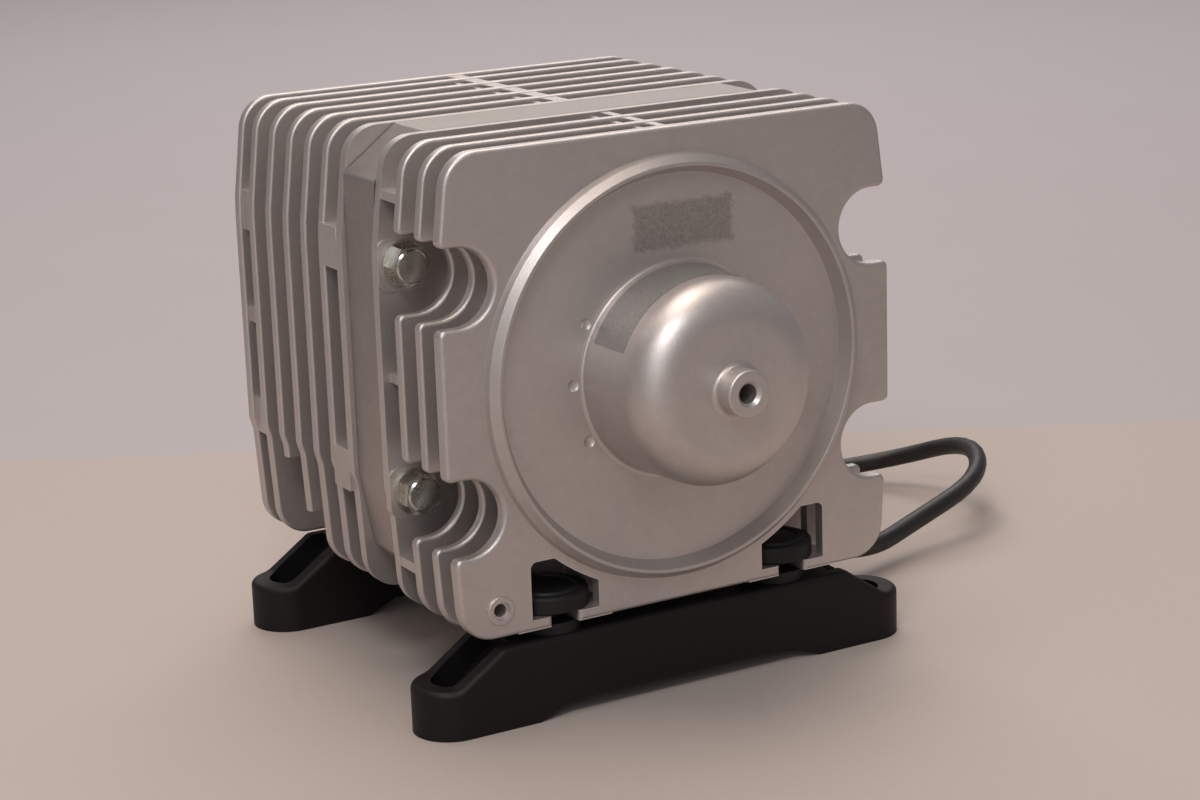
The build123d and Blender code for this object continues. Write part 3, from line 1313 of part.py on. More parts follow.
COVER_R = 63.0
COVER_WALL = 2.4
COVER_BACK_T = 2.6
COVER_BOSS_R = 5.6
COVER_HOLE_R = 2.2
COUNTERBORE = (4.0, 2.4)  # radius and depth
SLOT_DEPTH = 177.5
SLOT_SIZE = (7.5, 3.4)
SLOT_ANGLE = 10
with BuildPart() as filter_cover:
    with BuildSketch(cross(COVER_END)):
        Circle(COVER_R)
    extrude(amount=COVER_END - BACK_END)
    fillet(filter_cover.faces().sort_by(Axis.Y)[-1].edges(), 3.0)
    with BuildSketch(cross(COVER_END - COVER_BACK_T)):
        Circle(COVER_R - COVER_WALL)
    extrude(amount=COVER_END - COVER_BACK_T - BACK_END, mode=Mode.SUBTRACT)
    with BuildSketch(cross(COVER_END - 2)):
        with PolarLocations(COVER_SCREW_PCR, 4, 45):
            Circle(COVER_BOSS_R)
    extrude(amount=COVER_END - 2 - BACK_END)
    with BuildSketch(cross(COVER_END)):
        with PolarLocations(COVER_SCREW_PCR, 4, 45):
            Circle(COVER_HOLE_R)
    extrude(amount=COVER_END - BACK_END, mode=Mode.SUBTRACT)
    with BuildSketch(cross(COVER_END)):
        with PolarLocations(COVER_SCREW_PCR, 4, 45):
            Circle(COUNTERBORE[0])
    extrude(amount=COUNTERBORE[1], mode=Mode.SUBTRACT)
    # intake slots round the wall, left out beside the screws
    for angle in range(0, 360, SLOT_ANGLE):
        if abs(angle % 90 - 45) > SLOT_ANGLE:
            outwards = Vector(1, 0, 0).rotate(Axis.Y, angle)
            slot_plane = Plane(origin=(0, FACE_Y + SLOT_DEPTH, AXIS_Z), x_dir=(0, 1, 0), z_dir=outwards)
            with BuildSketch(slot_plane.offset(COVER_R - COVER_WALL - 1)):
                SlotOverall(*SLOT_SIZE)
            extrude(amount=COVER_WALL + 2, mode=Mode.SUBTRACT)
filter_cover.part.label = "filter_cover"
export_step(filter_cover.part, "parts/filter_cover.step")

COVER_SCREW_HEAD = (3.7, 0.3)  # radius, and how far it lies below the cover's back
COVER_SCREW_CROSS = (4.6, 1.0, 1.3)  # length, width and depth
COVER_SCREW_LENGTH = 20.0
with BuildPart() as cover_screws:
    with BuildSketch(cross(COVER_END - COVER_SCREW_HEAD[1])):
        with PolarLocations(COVER_SCREW_PCR, 4, 45):
            Circle(COVER_SCREW_HEAD[0])
    extrude(amount=COUNTERBORE[1] - COVER_SCREW_HEAD[1])
    with BuildSketch(cross(COVER_END - COVER_SCREW_HEAD[1])):
        with PolarLocations(COVER_SCREW_PCR, 4, 45):
            Rectangle(COVER_SCREW_CROSS[0], COVER_SCREW_CROSS[1])
            Rectangle(COVER_SCREW_CROSS[1], COVER_SCREW_CROSS[0])
    extrude(amount=COVER_SCREW_CROSS[2], mode=Mode.SUBTRACT)
    with BuildSketch(cross(COVER_END - COUNTERBORE[1])):
        with PolarLocations(COVER_SCREW_PCR, 4, 45):
            Circle(2.0)
    extrude(amount=COVER_SCREW_LENGTH)
cover_screws.part.label = "cover_screws"
export_step(cover_screws.part, "parts/cover_screws.step")

# --------------------------------------------------------------- power cord
GLAND_REACH = 22.0
GLAND_COLLAR_R = 9.0
GLAND_COLLAR_T = 2.6
GLAND_R = (6.6, 5.0)
with BuildPart() as cord_gland:
    with BuildSketch(entry_plane.offset(-7.5)):
        Circle(ENTRY_R - 0.05)
    extrude(amount=8.5)
    with BuildSketch(entry_plane.offset(0.05)):
        Circle(GLAND_COLLAR_R)
    extrude(amount=GLAND_COLLAR_T)
    rims = cord_gland.edges().filter_by(GeomType.CIRCLE).filter_by(lambda e: e.radius > GLAND_COLLAR_R - 0.1)
    fillet(rims, 0.8)
    with BuildSketch(entry_plane.offset(2.0)):
        Circle(GLAND_R[0])
    with BuildSketch(entry_plane.offset(GLAND_REACH)):
        Circle(GLAND_R[1])
    loft()
cord_gland.part.label = "cord_gland"
export_step(cord_gland.part, "parts/cord_gland.step")

reach = (GLAND_REACH + 0.02) / math.sqrt(2)
cord_points = [
    (ENTRY[0] + reach, ENTRY_Y, ENTRY[1] - reach),
    (110.0, 63.7, -105.4),
    (135.0, 69.5, -111.0),
    (159.0, 77.5, -107.5),
    (203.0, 85.0, -96.5),
    (228.0, 125.0, -93.0),
    (215.0, 166.0, -109.5),
    (171.0, 181.0, -113.0),
    (135.0, 196.0, -114.5),
    (98.0, 226.0, -115.4),
    (62.0, 236.3, FLOOR + (COIL_BASE + COIL_TOP) / 2),
]
cord_path = [Vector(x, FACE_Y + y, AXIS_Z + z) for x, y, z in cord_points]
cord_radii = []
for before, here, after in zip(cord_path, cord_path[1:], cord_path[2:]):
    turn = math.radians((here - before).get_angle(after - here))
    shorter = min((here - before).length, (after - here).length)
    cord_radii.append(0.45 * shorter / math.tan(turn / 2))
with BuildPart() as power_cord:
    with BuildLine() as cord_line:
        FilletPolyline(*cord_path, radius=cord_radii)
    with BuildSketch(Plane(origin=cord_line.line @ 0, z_dir=cord_line.line % 0)):
        Circle(CORD_D / 2)
    sweep(path=cord_line.line)
print("cord length", round(sum(run.length for run in cord_line.edges()), 1))
print("cord bend radii", [round(radius, 1) for radius in cord_radii])
power_cord.part.label = "power_cord"
export_step(power_cord.part, "parts/power_cord.step")

coil_plane = Plane(origin=(COIL_CENTRE[0], FACE_Y + COIL_CENTRE[1], 0), x_dir=(1, 0, 0), z_dir=(0, -1, 0))
COIL_MID = (COIL_BASE + COIL_TOP) / 2
coil_axis = Axis((COIL_CENTRE[0], FACE_Y + COIL_CENTRE[1], 0), (0, 0, 1))
with BuildPart() as cord_coil:
    with BuildSketch(coil_plane):
        with Locations((COIL_MEAN_R, COIL_MID)):
            RectangleRounded(2 * COIL_HALF_W, COIL_TOP - COIL_BASE, COIL_EDGE_R)
    revolve(axis=coil_axis)
cord_coil.part.label = "cord_coil"
export_step(cord_coil.part, "parts/cord_coil.step")

TIE_W = 7.0
TIE_GAP = 0.4
TIE_T = 0.35
with BuildPart() as cord_tie:
    with BuildSketch(coil_plane.offset(-TIE_W / 2)):
        with Locations((COIL_MEAN_R - 0.1, COIL_MID)):
            for grow, mode in ((TIE_GAP + TIE_T, Mode.ADD), (TIE_GAP, Mode.SUBTRACT)):
                tall = COIL_TOP - COIL_BASE + 2 * grow
                RectangleRounded(2 * COIL_HALF_W + 2 * grow, tall, COIL_EDGE_R + grow, mode=mode)
    extrude(amount=TIE_W)
cord_tie.part.label = "cord_tie"
export_step(cord_tie.part, "parts/cord_tie.step")

PLUG_Z = 11.5
PLUG_START = COIL_CENTRE[0] + 8
PLUG_CORD = 30.0
PLUG_NECK = (26.0, 46.0)
PLUG_LENGTH = 26.0
PLUG_SIZE = (26.0, 22.0)
BLADE = (1.5, 6.4, 22.0)
BLADE_PLACE = (6.35, 3.0)
EARTH_PIN = (-6.0, 2.4, 25.0)  # place, radius and length
plug_plane = Plane(
    origin=(PLUG_START, FACE_Y + COIL_CENTRE[1] + COIL_OUTER_R, PLUG_Z), x_dir=(0, 1, 0), z_dir=(1, 0, 0)
)
with BuildPart() as plug_body:
    with BuildSketch(plug_plane):
        Circle(CORD_D / 2)
    extrude(amount=PLUG_CORD)
    with BuildSketch(plug_plane.offset(PLUG_NECK[0])):
        Circle(5.0)
    with BuildSketch(plug_plane.offset(PLUG_NECK[1])):
        RectangleRounded(17.0, 15.0, 5.0)
    loft()
    with BuildSketch(plug_plane.offset(PLUG_NECK[1])):
        RectangleRounded(*PLUG_SIZE, 7.0)
    extrude(amount=PLUG_LENGTH)
    fillet(plug_body.faces().sort_by(Axis.X)[-1].edges(), 1.5)
plug_body.part.label = "plug_body"
export_step(plug_body.part, "parts/plug_body.step")

BLADE_ROOT = PLUG_NECK[1] + PLUG_LENGTH - 6
with BuildPart() as plug_blades:
    with BuildSketch(plug_plane.offset(BLADE_ROOT)):
        for side in (-1, 1):
            with Locations((side * BLADE_PLACE[0], BLADE_PLACE[1])):
                Rectangle(BLADE[0], BLADE[1])
    extrude(amount=BLADE[2])
    with BuildSketch(plug_plane.offset(BLADE_ROOT)):
        with Locations((0, EARTH_PIN[0])):
            Circle(EARTH_PIN[1])
    extrude(amount=EARTH_PIN[2])
plug_blades.part.label = "plug_blades"
export_step(plug_blades.part, "parts/plug_blades.step")

# ------------------------------------------------------------ inner wiring
LEAD_R = 1.0
LEAD_BEND_R = 2.5
right_lead = [
    (46.0, 59.0, -61.3),
    (46.0, 59.0, -50.0),
    (40.0, 61.5, -34.0),
    (34.0, 62.5, -23.1),
]
left_lead = [
    (42.0, 62.0, -61.2),
    (42.0, 61.5, -50.5),
    (8.0, 60.0, -46.0),
    (-24.0, 61.0, -44.0),
    (-34.0, 62.5, -23.1),
]
supply_lead = [(70.2, 62.5, -70.2), (66.9, 61.5, -67.5), (62.4, 60.0, -67.0)]
with BuildPart() as coil_leads:
    for route in (right_lead, left_lead, supply_lead):
        with BuildLine() as wire:
            FilletPolyline(*[Vector(x, FACE_Y + y, AXIS_Z + z) for x, y, z in route], radius=LEAD_BEND_R)
        with BuildSketch(Plane(origin=wire.line @ 0, z_dir=wire.line % 0)):
            Circle(LEAD_R)
        sweep(path=wire.line)
coil_leads.part.label = "coil_leads"
export_step(coil_leads.part, "parts/coil_leads.step")
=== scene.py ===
import json
import math

import bmesh
import bpy
from mathutils import Matrix, Vector


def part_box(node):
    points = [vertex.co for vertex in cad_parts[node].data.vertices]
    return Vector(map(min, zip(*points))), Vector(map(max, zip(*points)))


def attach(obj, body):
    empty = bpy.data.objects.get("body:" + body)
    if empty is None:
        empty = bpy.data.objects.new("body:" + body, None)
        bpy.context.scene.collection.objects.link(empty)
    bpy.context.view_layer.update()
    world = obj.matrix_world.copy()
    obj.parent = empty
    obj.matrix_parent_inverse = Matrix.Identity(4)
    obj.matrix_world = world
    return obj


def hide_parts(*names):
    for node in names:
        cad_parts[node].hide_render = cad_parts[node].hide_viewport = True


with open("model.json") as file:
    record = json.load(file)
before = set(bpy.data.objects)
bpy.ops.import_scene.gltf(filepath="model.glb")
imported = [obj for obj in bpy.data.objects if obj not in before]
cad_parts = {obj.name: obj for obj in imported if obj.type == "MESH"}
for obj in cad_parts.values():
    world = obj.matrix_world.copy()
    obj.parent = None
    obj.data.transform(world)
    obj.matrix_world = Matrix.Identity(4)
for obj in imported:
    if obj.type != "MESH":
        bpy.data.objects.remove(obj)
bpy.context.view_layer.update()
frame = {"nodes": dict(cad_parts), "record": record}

# ------------------------------------------------------------ places, metres
FACE_Y = -0.070  # front face of the front plate
AXIS_Z = 0.1205  # height of the pump axis
CORD_D = 0.0076
COIL_CENTRE = (0.060, 0.208)
COIL_OUTER_R = 0.0487
COIL_MIDDLE_R = 0.0410
LAYER_Z = (0.0046, 0.0123)  # lower and upper layer of turns
# Winding of the coil, in degrees
COIL_SWEEP = 1980
COIL_STEP = 15
STEPS_IN = ((300, 360), (660, 720))  # where the cord moves in by one turn
STEPS_OUT = ((1230, 1320), (1590, 1680))  # where it moves out by one turn
CLIMB = (930, 1020)  # where it climbs onto the lower layer
GLAND_FACE = Vector((0.077, -0.0075, 0.0435))  # where the cord gland meets the frame
GLAND_OUT = Vector((1.0, 0.0, -1.0)).normalized()
GLAND_REACH = 0.022
PLUG_START_X = 0.068
PLUG_TAIL = 0.020  # from there to where the moulding starts
PLUG_Z = 0.0115
SMOOTH_ANGLE = math.radians(35.0)
EDGE_MASK_FULL_PARTING = 0.25  # parting of the normals where the edge mask is full


# ------------------------------------------------------------------- camera
CAMERA_PLACE = (-0.49375, -0.87585, 0.35915)
CAMERA_YAW = math.radians(29.839)
CAMERA_PITCH = math.radians(14.798)
CAMERA_ROLL = math.radians(-1.969)
CAMERA_LENS = 82.64  # mm
SENSOR_WIDTH = 36.0  # mm
CLIP = (0.05, 30.0)


def make_camera():
    """The camera at the photograph's viewing angle."""
    forward = Vector(
        (
            math.sin(CAMERA_YAW) * math.cos(CAMERA_PITCH),
            math.cos(CAMERA_YAW) * math.cos(CAMERA_PITCH),
            -math.sin(CAMERA_PITCH),
        )
    )
    level_right = Vector((math.cos(CAMERA_YAW), -math.sin(CAMERA_YAW), 0.0))
    level_up = level_right.cross(forward)
    right = math.cos(CAMERA_ROLL) * level_right + math.sin(CAMERA_ROLL) * level_up
    up = math.cos(CAMERA_ROLL) * level_up - math.sin(CAMERA_ROLL) * level_right
    data = bpy.data.cameras.new("camera")
    data.sensor_width = SENSOR_WIDTH
    data.lens = CAMERA_LENS
    data.clip_start, data.clip_end = CLIP
    camera = bpy.data.objects.new("camera", data)
    place = Matrix((right, up, -forward)).transposed().to_4x4()
    place.translation = CAMERA_PLACE
    camera.matrix_world = place
    bpy.context.scene.collection.objects.link(camera)
    bpy.context.scene.camera = camera


make_camera()


# ---------------------------------------------------------- material helpers
class Shader:
    """A small helper that builds one node material."""

    def __init__(self, name):
        self.material = bpy.data.materials.new(name)
        self.material.use_nodes = True
        self.tree = self.material.node_tree
        self.bsdf = self.tree.nodes["Principled BSDF"]
        self.position = None

    def node(self, kind, **values):
        made = self.tree.nodes.new(kind)
        for key, value in values.items():
            if hasattr(made, key):
                setattr(made, key, value)
            else:
                made.inputs[key.replace("_", " ")].default_value = value
        return made

    def link(self, source, target):
        self.tree.links.new(source, target)

    def place(self):
        """The surface's place in the row frame, in metres."""
        if self.position is None:
            self.position = self.node("ShaderNodeTexCoord").outputs["Object"]
        return self.position

    def stretched(self, scale):
        mapping = self.node("ShaderNodeMapping")
        mapping.inputs["Scale"].default_value = scale
        self.link(self.place(), mapping.inputs["Vector"])
        return mapping.outputs["Vector"]

    def noise(self, scale, detail=3.0, rough=0.55, vector=None):
        made = self.node("ShaderNodeTexNoise", Scale=scale, Detail=detail, Roughness=rough)
        self.link(vector or self.place(), made.inputs["Vector"])
        return made.outputs["Fac"]

    def cells(self, scale, vector=None):
        made = self.node("ShaderNodeTexVoronoi", Scale=scale)
        self.link(vector or self.place(), made.inputs["Vector"])
        return made.outputs["Distance"]

    def spread(self, value, low, high, out_low, out_high):
        made = self.node("ShaderNodeMapRange")
        limits = {"From Min": low, "From Max": high, "To Min": out_low, "To Max": out_high}
        for key, number in limits.items():
            made.inputs[key].default_value = number
        self.link(value, made.inputs["Value"])
        return made.outputs["Result"]

    def math(self, operation, first, second=None):
        made = self.node("ShaderNodeMath", operation=operation)
        for socket, value in zip(made.inputs, (first, second)):
            if value is None:
                continue
            if isinstance(value, (int, float)):
                socket.default_value = value
            else:
                self.link(value, socket)
        return made.outputs[0]

    def mix(self, factor, first, second, blend="MIX"):
        made = self.node("ShaderNodeMix", data_type="RGBA", blend_type=blend)
        for socket, value in ((made.inputs[0], factor), (made.inputs[6], first), (made.inputs[7], second)):
            if isinstance(value, (int, float)):
                socket.default_value = value
            elif isinstance(value, tuple):
                socket.default_value = (*value, 1.0)
            else:
                self.link(value, socket)
        return made.outputs[2]

    def parts(self, vector):
        made = self.node("ShaderNodeSeparateXYZ")
        self.link(vector, made.inputs[0])
        return made.outputs

    def edges(self, radius):
        """1 on outside edges and 0 on flat stretches: the mask for edge wear, edge dust and painted edge
        highlights.
        """
        bevel = self.node("ShaderNodeBevel", samples=6)
        bevel.inputs["Radius"].default_value = radius
        geometry = self.node("ShaderNodeNewGeometry")
        dot = self.node("ShaderNodeVectorMath", operation="DOT_PRODUCT")
        self.link(bevel.outputs["Normal"], dot.inputs[0])
        self.link(geometry.outputs["Normal"], dot.inputs[1])
        return self.spread(self.math("SUBTRACT", 1.0, dot.outputs["Value"]), 0.0, EDGE_MASK_FULL_PARTING, 0.0, 1.0)

    def bump(self, *layers):
        """Stacks bump layers, each a height, a strength and a depth in metres."""
        normal = None
        for height, strength, depth in layers:
            made = self.node("ShaderNodeBump", Strength=strength, Distance=depth)
            self.link(height, made.inputs["Height"])
            if normal is not None:
                self.link(normal, made.inputs["Normal"])
            normal = made.outputs["Normal"]
        self.link(normal, self.bsdf.inputs["Normal"])

    def colour(self, value):
        self.set("Base Color", value)

    def set(self, socket, value):
        target = self.bsdf.inputs[socket]
        if isinstance(value, (int, float)):
            target.default_value = value
        elif isinstance(value, tuple):
            target.default_value = (*value, 1.0)
        else:
            self.link(value, target)


def cast_aluminium(name, base, bright, edge=0.8, patch=False):
    """Blasted die casting: grainy, faintly stained, brighter along its edges from edge wear and a painted
    highlight.
    """
    s = Shader(name)
    clouds = s.noise(14.0, 4.0, 0.5)
    mottle = s.noise(260.0, 4.0, 0.6)
    grain = s.noise(1900.0, 2.0, 0.5)
    dark = tuple(0.84 * c for c in base)
    colour = s.mix(s.spread(clouds, 0.30, 0.70, 0.0, 1.0), dark, base)
    colour = s.mix(s.spread(mottle, 0.35, 0.75, 0.0, 0.16), colour, bright)
    colour = s.mix(s.spread(grain, 0.25, 0.80, 0.0, 0.26), colour, tuple(0.66 * c for c in base))
    # sparse dark specks and fine scratches
    specks = s.spread(s.cells(170.0), 0.0, 0.040, 0.35, 0.0)
    colour = s.mix(specks, colour, tuple(0.50 * c for c in base))
    scratch = s.noise(11.0, 7.0, 0.7, s.stretched((4.0, 3.0, 70.0)))
    scratches = s.spread(s.math("ABSOLUTE", s.math("SUBTRACT", scratch, 0.5)), 0.0, 0.004, 0.22, 0.0)
    colour = s.mix(scratches, colour, bright)
    if patch:
        colour = residue(s, colour, base)
    # painted highlight, partly edge wear: the colour turns towards the bright tone along outside edges
    edge_wear_and_highlight = s.edges(0.0007)
    colour = s.mix(s.math("MULTIPLY", edge_wear_and_highlight, edge), colour, bright)
    s.colour(colour)
    s.set("Metallic", 0.82)
    rough = s.spread(clouds, 0.3, 0.7, 0.50, 0.41)
    s.set("Roughness", s.math("SUBTRACT", rough, s.math("MULTIPLY", edge_wear_and_highlight, 0.12)))
    s.bump((s.noise(420.0, 3.0, 0.6), 0.12, 0.00020), (grain, 0.50, 0.00012))
    return s.material


def residue(s, colour, base):
    """The dull mark that a peeled sticker left above the dome."""
    x, y, z = s.parts(s.place())[:3]
    wobble = s.spread(s.noise(420.0, 5.0, 0.7), 0.3, 0.7, -0.0012, 0.0012)
    across = s.math("SUBTRACT", s.math("ABSOLUTE", s.math("SUBTRACT", x, 0.0045)), 0.0205)
    upward = s.math("SUBTRACT", s.math("ABSOLUTE", s.math("SUBTRACT", z, AXIS_Z + 0.0515)), 0.0083)
    outside = s.math("ADD", s.math("MAXIMUM", across, upward), wobble)
    inside = s.spread(outside, -0.0012, 0.0008, 1.0, 0.0)
    on_face = s.spread(s.math("ABSOLUTE", s.math("SUBTRACT", y, FACE_Y)), 0.0006, 0.0010, 1.0, 0.0)
    blotch = s.spread(s.noise(950.0, 5.0, 0.75), 0.34, 0.62, 0.35, 0.80)
    factor = s.math("MULTIPLY", s.math("MULTIPLY", inside, on_face), blotch)
    return s.mix(factor, colour, tuple(0.46 * c for c in base))


def machined(name, base, rough):
    """Turned or ground metal with fine tool marks."""
    s = Shader(name)
    marks = s.noise(900.0, 3.0, 0.6, s.stretched((0.15, 1.0, 0.15)))
    cloud = s.noise(60.0, 3.0)
    s.colour(s.mix(s.spread(cloud, 0.3, 0.7, 0.0, 1.0), tuple(0.82 * c for c in base), base))
    s.set("Metallic", 1.0)
    s.set("Roughness", s.spread(marks, 0.3, 0.7, rough - 0.06, rough + 0.08))
    s.bump((marks, 0.25, 0.00005))
    return s.material


def zinc_plate(name, base, tint, rough):
    """Passivated zinc with a cloudy tint."""
    s = Shader(name)
    cloud = s.noise(170.0, 3.0, 0.6)
    fine = s.noise(900.0, 3.0, 0.6)
    colour = s.mix(s.spread(cloud, 0.35, 0.65, 0.0, 1.0), base, tint)
    # painted highlight, partly edge wear: lighter along outside edges
    colour = s.mix(s.edges(0.0004), colour, tuple(min(1.0, 1.25 * c) for c in base))
    s.colour(colour)
    s.set("Metallic", 1.0)
    s.set("Roughness", s.spread(fine, 0.3, 0.7, rough - 0.05, rough + 0.10))
    s.bump((fine, 0.20, 0.00006))
    return s.material


def moulded(name, base, rough, grain_scale=1100.0, grain=0.35, dust=0.05, dust_tone=(0.35, 0.34, 0.33)):
    """Moulded rubber or plastic with fine grain and a little dust."""
    s = Shader(name)
    cloud = s.noise(45.0, 4.0, 0.6)
    fine = s.noise(grain_scale, 3.0, 0.55)
    colour = s.mix(s.spread(cloud, 0.3, 0.7, 0.0, 1.0), tuple(0.75 * c for c in base), base)
    colour = s.mix(s.spread(s.noise(520.0, 4.0, 0.7), 0.55, 0.85, 0.0, dust), colour, dust_tone)
    colour = s.mix(s.math("MULTIPLY", s.edges(0.0006), 0.12), colour, dust_tone)
    s.colour(colour)
    s.set("Roughness", s.spread(cloud, 0.3, 0.7, rough - 0.05, rough + 0.07))
    s.set("Specular IOR Level", 0.30)
    s.bump((fine, grain, 0.00008))
    return s.material


def foil(name):
    """Blank silver sticker."""
    s = Shader(name)
    fine = s.noise(700.0, 3.0, 0.6)
    s.colour(s.mix(s.spread(fine, 0.3, 0.7, 0.0, 1.0), (0.27, 0.26, 0.25), (0.33, 0.32, 0.31)))
    s.set("Metallic", 0.55)
    s.set("Roughness", s.spread(s.noise(90.0), 0.3, 0.7, 0.34, 0.44))
    s.bump((s.noise(200.0, 2.0), 0.12, 0.0001))
    return s.material


def laminated(name):
    """Stacked electrical steel: thin lines across the pump axis."""
    s = Shader(name)
    wave = s.node("ShaderNodeTexWave", Scale=320.0, Distortion=0.4, bands_direction="Y")
    s.link(s.place(), wave.inputs["Vector"])
    lines = wave.outputs["Fac"]
    rust = s.spread(s.noise(70.0, 5.0, 0.6), 0.52, 0.72, 0.0, 0.5)
    colour = s.mix(lines, (0.10, 0.10, 0.105), (0.30, 0.30, 0.31))
    s.colour(s.mix(rust, colour, (0.16, 0.10, 0.07)))
    s.set("Metallic", 0.85)
    s.set("Roughness", 0.45)
    s.bump((lines, 0.5, 0.0001))
    return s.material


def windings(name):
    """Enamelled copper wire wound in close turns."""
    s = Shader(name)
    wave = s.node("ShaderNodeTexWave", Scale=260.0, Distortion=0.6, bands_direction="X")
    s.link(s.place(), wave.inputs["Vector"])
    lines = wave.outputs["Fac"]
    s.colour(s.mix(lines, (0.12, 0.035, 0.012), (0.50, 0.17, 0.06)))
    s.set("Metallic", 0.6)
    s.set("Roughness", 0.32)
    s.set("Coat Weight", 0.5)
    s.bump((lines, 0.8, 0.0003))
    return s.material


def felt(name):
    """Off-white filter felt."""
    s = Shader(name)
    fibres = s.noise(900.0, 6.0, 0.75, s.stretched((1.0, 1.0, 2.5)))
    cloud = s.noise(35.0, 4.0)
    colour = s.mix(s.spread(fibres, 0.3, 0.7, 0.0, 1.0), (0.48, 0.46, 0.41), (0.80, 0.79, 0.74))
    s.colour(s.mix(s.spread(cloud, 0.45, 0.75, 0.0, 0.4), colour, (0.42, 0.39, 0.34)))
    s.set("Roughness", 0.95)
    s.set("Sheen Weight", 0.4)
    s.bump((fibres, 0.9, 0.0006))
    return s.material


def cord_jacket(name):
    """Black flexible jacket with a faint sheen and a little dust."""
    s = Shader(name)
    fine = s.noise(1600.0, 3.0, 0.5)
    wide = s.noise(120.0, 3.0)
    colour = s.mix(s.spread(wide, 0.35, 0.7, 0.0, 1.0), (0.0090, 0.0080, 0.0080), (0.0160, 0.0145, 0.0140))
    s.colour(s.mix(s.spread(s.noise(600.0, 4.0, 0.7), 0.6, 0.85, 0.0, 0.05), colour, (0.20, 0.18, 0.17)))
    s.set("Roughness", s.spread(wide, 0.3, 0.7, 0.40, 0.52))
    s.bump((fine, 0.30, 0.00006), (wide, 0.15, 0.0003))
    return s.material


MATERIALS = {
    "cast_aluminium": cast_aluminium(
        "cast_aluminium", (0.600, 0.552, 0.535), (0.80, 0.75, 0.715), patch=True
    ),
    "cast_frame": cast_aluminium("cast_frame", (0.400, 0.355, 0.340), (0.58, 0.53, 0.50), edge=0.5),
    "machined_aluminium": machined("machined_aluminium", (0.68, 0.68, 0.67), 0.30),
    "foot_black": moulded(
        "foot_black", (0.0060, 0.0048, 0.0046), 0.55, 1500.0, 0.40, 0.02, (0.10, 0.09, 0.09)
    ),
    "gasket_rubber": moulded("gasket_rubber", (0.030, 0.029, 0.029), 0.70),
    "isolator_rubber": moulded(
        "isolator_rubber", (0.0120, 0.0115, 0.0120), 0.55, 1300.0, 0.3, 0.04, (0.14, 0.13, 0.13)
    ),
    "valve_rubber": moulded("valve_rubber", (0.035, 0.028, 0.024), 0.45),
    "ring_ptfe": moulded("ring_ptfe", (0.20, 0.18, 0.16), 0.40, 700.0, 0.2),
    "zinc_bolt": zinc_plate("zinc_bolt", (0.60, 0.60, 0.56), (0.52, 0.51, 0.46), 0.20),
    "zinc_screw": zinc_plate("zinc_screw", (0.58, 0.57, 0.54), (0.52, 0.48, 0.38), 0.26),
    "shaft_steel": machined("shaft_steel", (0.55, 0.55, 0.56), 0.22),
    "spring_steel": machined("spring_steel", (0.42, 0.43, 0.45), 0.30),
    "lamination_steel": laminated("lamination_steel"),
    "bush_bronze": machined("bush_bronze", (0.50, 0.31, 0.13), 0.38),
    "coil_copper": windings("coil_copper"),
    "bobbin_plastic": moulded("bobbin_plastic", (0.60, 0.55, 0.42), 0.45),
    "white_plastic": moulded("white_plastic", (0.66, 0.65, 0.61), 0.42),
    "black_plastic": moulded("black_plastic", (0.025, 0.025, 0.026), 0.45),
    "cover_plastic": moulded("cover_plastic", (0.045, 0.045, 0.047), 0.52, 900.0, 0.5, 0.06),
    "filter_felt": felt("filter_felt"),
    "lead_insulation": moulded("lead_insulation", (0.42, 0.03, 0.025), 0.35, 900.0, 0.1),
    "cord_rubber": cord_jacket("cord_rubber"),
    "tie_plastic": moulded("tie_plastic", (0.022, 0.022, 0.022), 0.40),
    "plug_brass": machined("plug_brass", (0.70, 0.52, 0.24), 0.24),
    "label_foil": foil("label_foil"),
}

for part in frame["record"]["subparts"]:
    cad_node = frame["nodes"][part["node"]]
    cad_node.data.materials.clear()
    cad_node.data.materials.append(MATERIALS[part["material_slot"]])


# ------------------------------------------------------------- mesh helpers
def finish_piece(piece, slot, *replaced):
    """Gives a new piece its material, its body and the CAD nodes it stands for."""
    piece.data.materials.append(MATERIALS[slot])
    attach(piece, "casing")
    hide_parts(*replaced)


def mesh_object(name, bm):
    bmesh.ops.recalc_face_normals(bm, faces=bm.faces)
    mesh = bpy.data.meshes.new(name)
    bm.to_mesh(mesh)
    bm.free()
    for polygon in mesh.polygons:
        polygon.use_smooth = True
    mesh.set_sharp_from_angle(angle=SMOOTH_ANGLE)
    piece = bpy.data.objects.new(name, mesh)
    bpy.context.scene.collection.objects.link(piece)
    return piece


def bridge_rings(bm, rings, close_ends=True):
    """Joins rings of vertices, each of the same count, into a closed skin."""
    for one, two in zip(rings, rings[1:]):
        count = len(one)
        for k in range(count):
            bm.faces.new((one[k], one[(k + 1) % count], two[(k + 1) % count], two[k]))
    if close_ends:
        bm.faces.new(rings[0])
        bm.faces.new(rings[-1])


def circle(count):
    """The cosine and sine of each of count even steps round a circle."""
    for k in range(count):
        angle = 2 * math.pi * k / count
        yield math.cos(angle), math.sin(angle)


def squared(half, wave, exponent):
    """A half width times a circle's cosine or sine, squared off by a small exponent."""
    return half * math.copysign(abs(wave) ** exponent, wave)


def axis_matrix(origin, direction):
    """A frame whose local z runs along direction."""
    turn = direction.to_track_quat("Z", "Y").to_matrix().to_4x4()
    turn.translation = origin
    return turn


# --------------------------------------------------------------------- cord
def ramp(value, start, end):
    share = min(1.0, max(0.0, (value - start) / (end - start)))
    return share * share * (3 - 2 * share)


def coil_point(swept):
    """Centre of the cord after this many degrees of winding: nearly three turns below, the rest on them."""
    pitch = COIL_OUTER_R - COIL_MIDDLE_R
    radius = COIL_OUTER_R
    radius -= pitch * sum(ramp(swept, *span) for span in STEPS_IN)
    radius += pitch * sum(ramp(swept, *span) for span in STEPS_OUT)
    height = LAYER_Z[0] + (LAYER_Z[1] - LAYER_Z[0]) * ramp(swept, *CLIMB)
    angle = math.radians(-90 - swept)
    return (COIL_CENTRE[0] + radius * math.cos(angle), COIL_CENTRE[1] + radius * math.sin(angle), height)


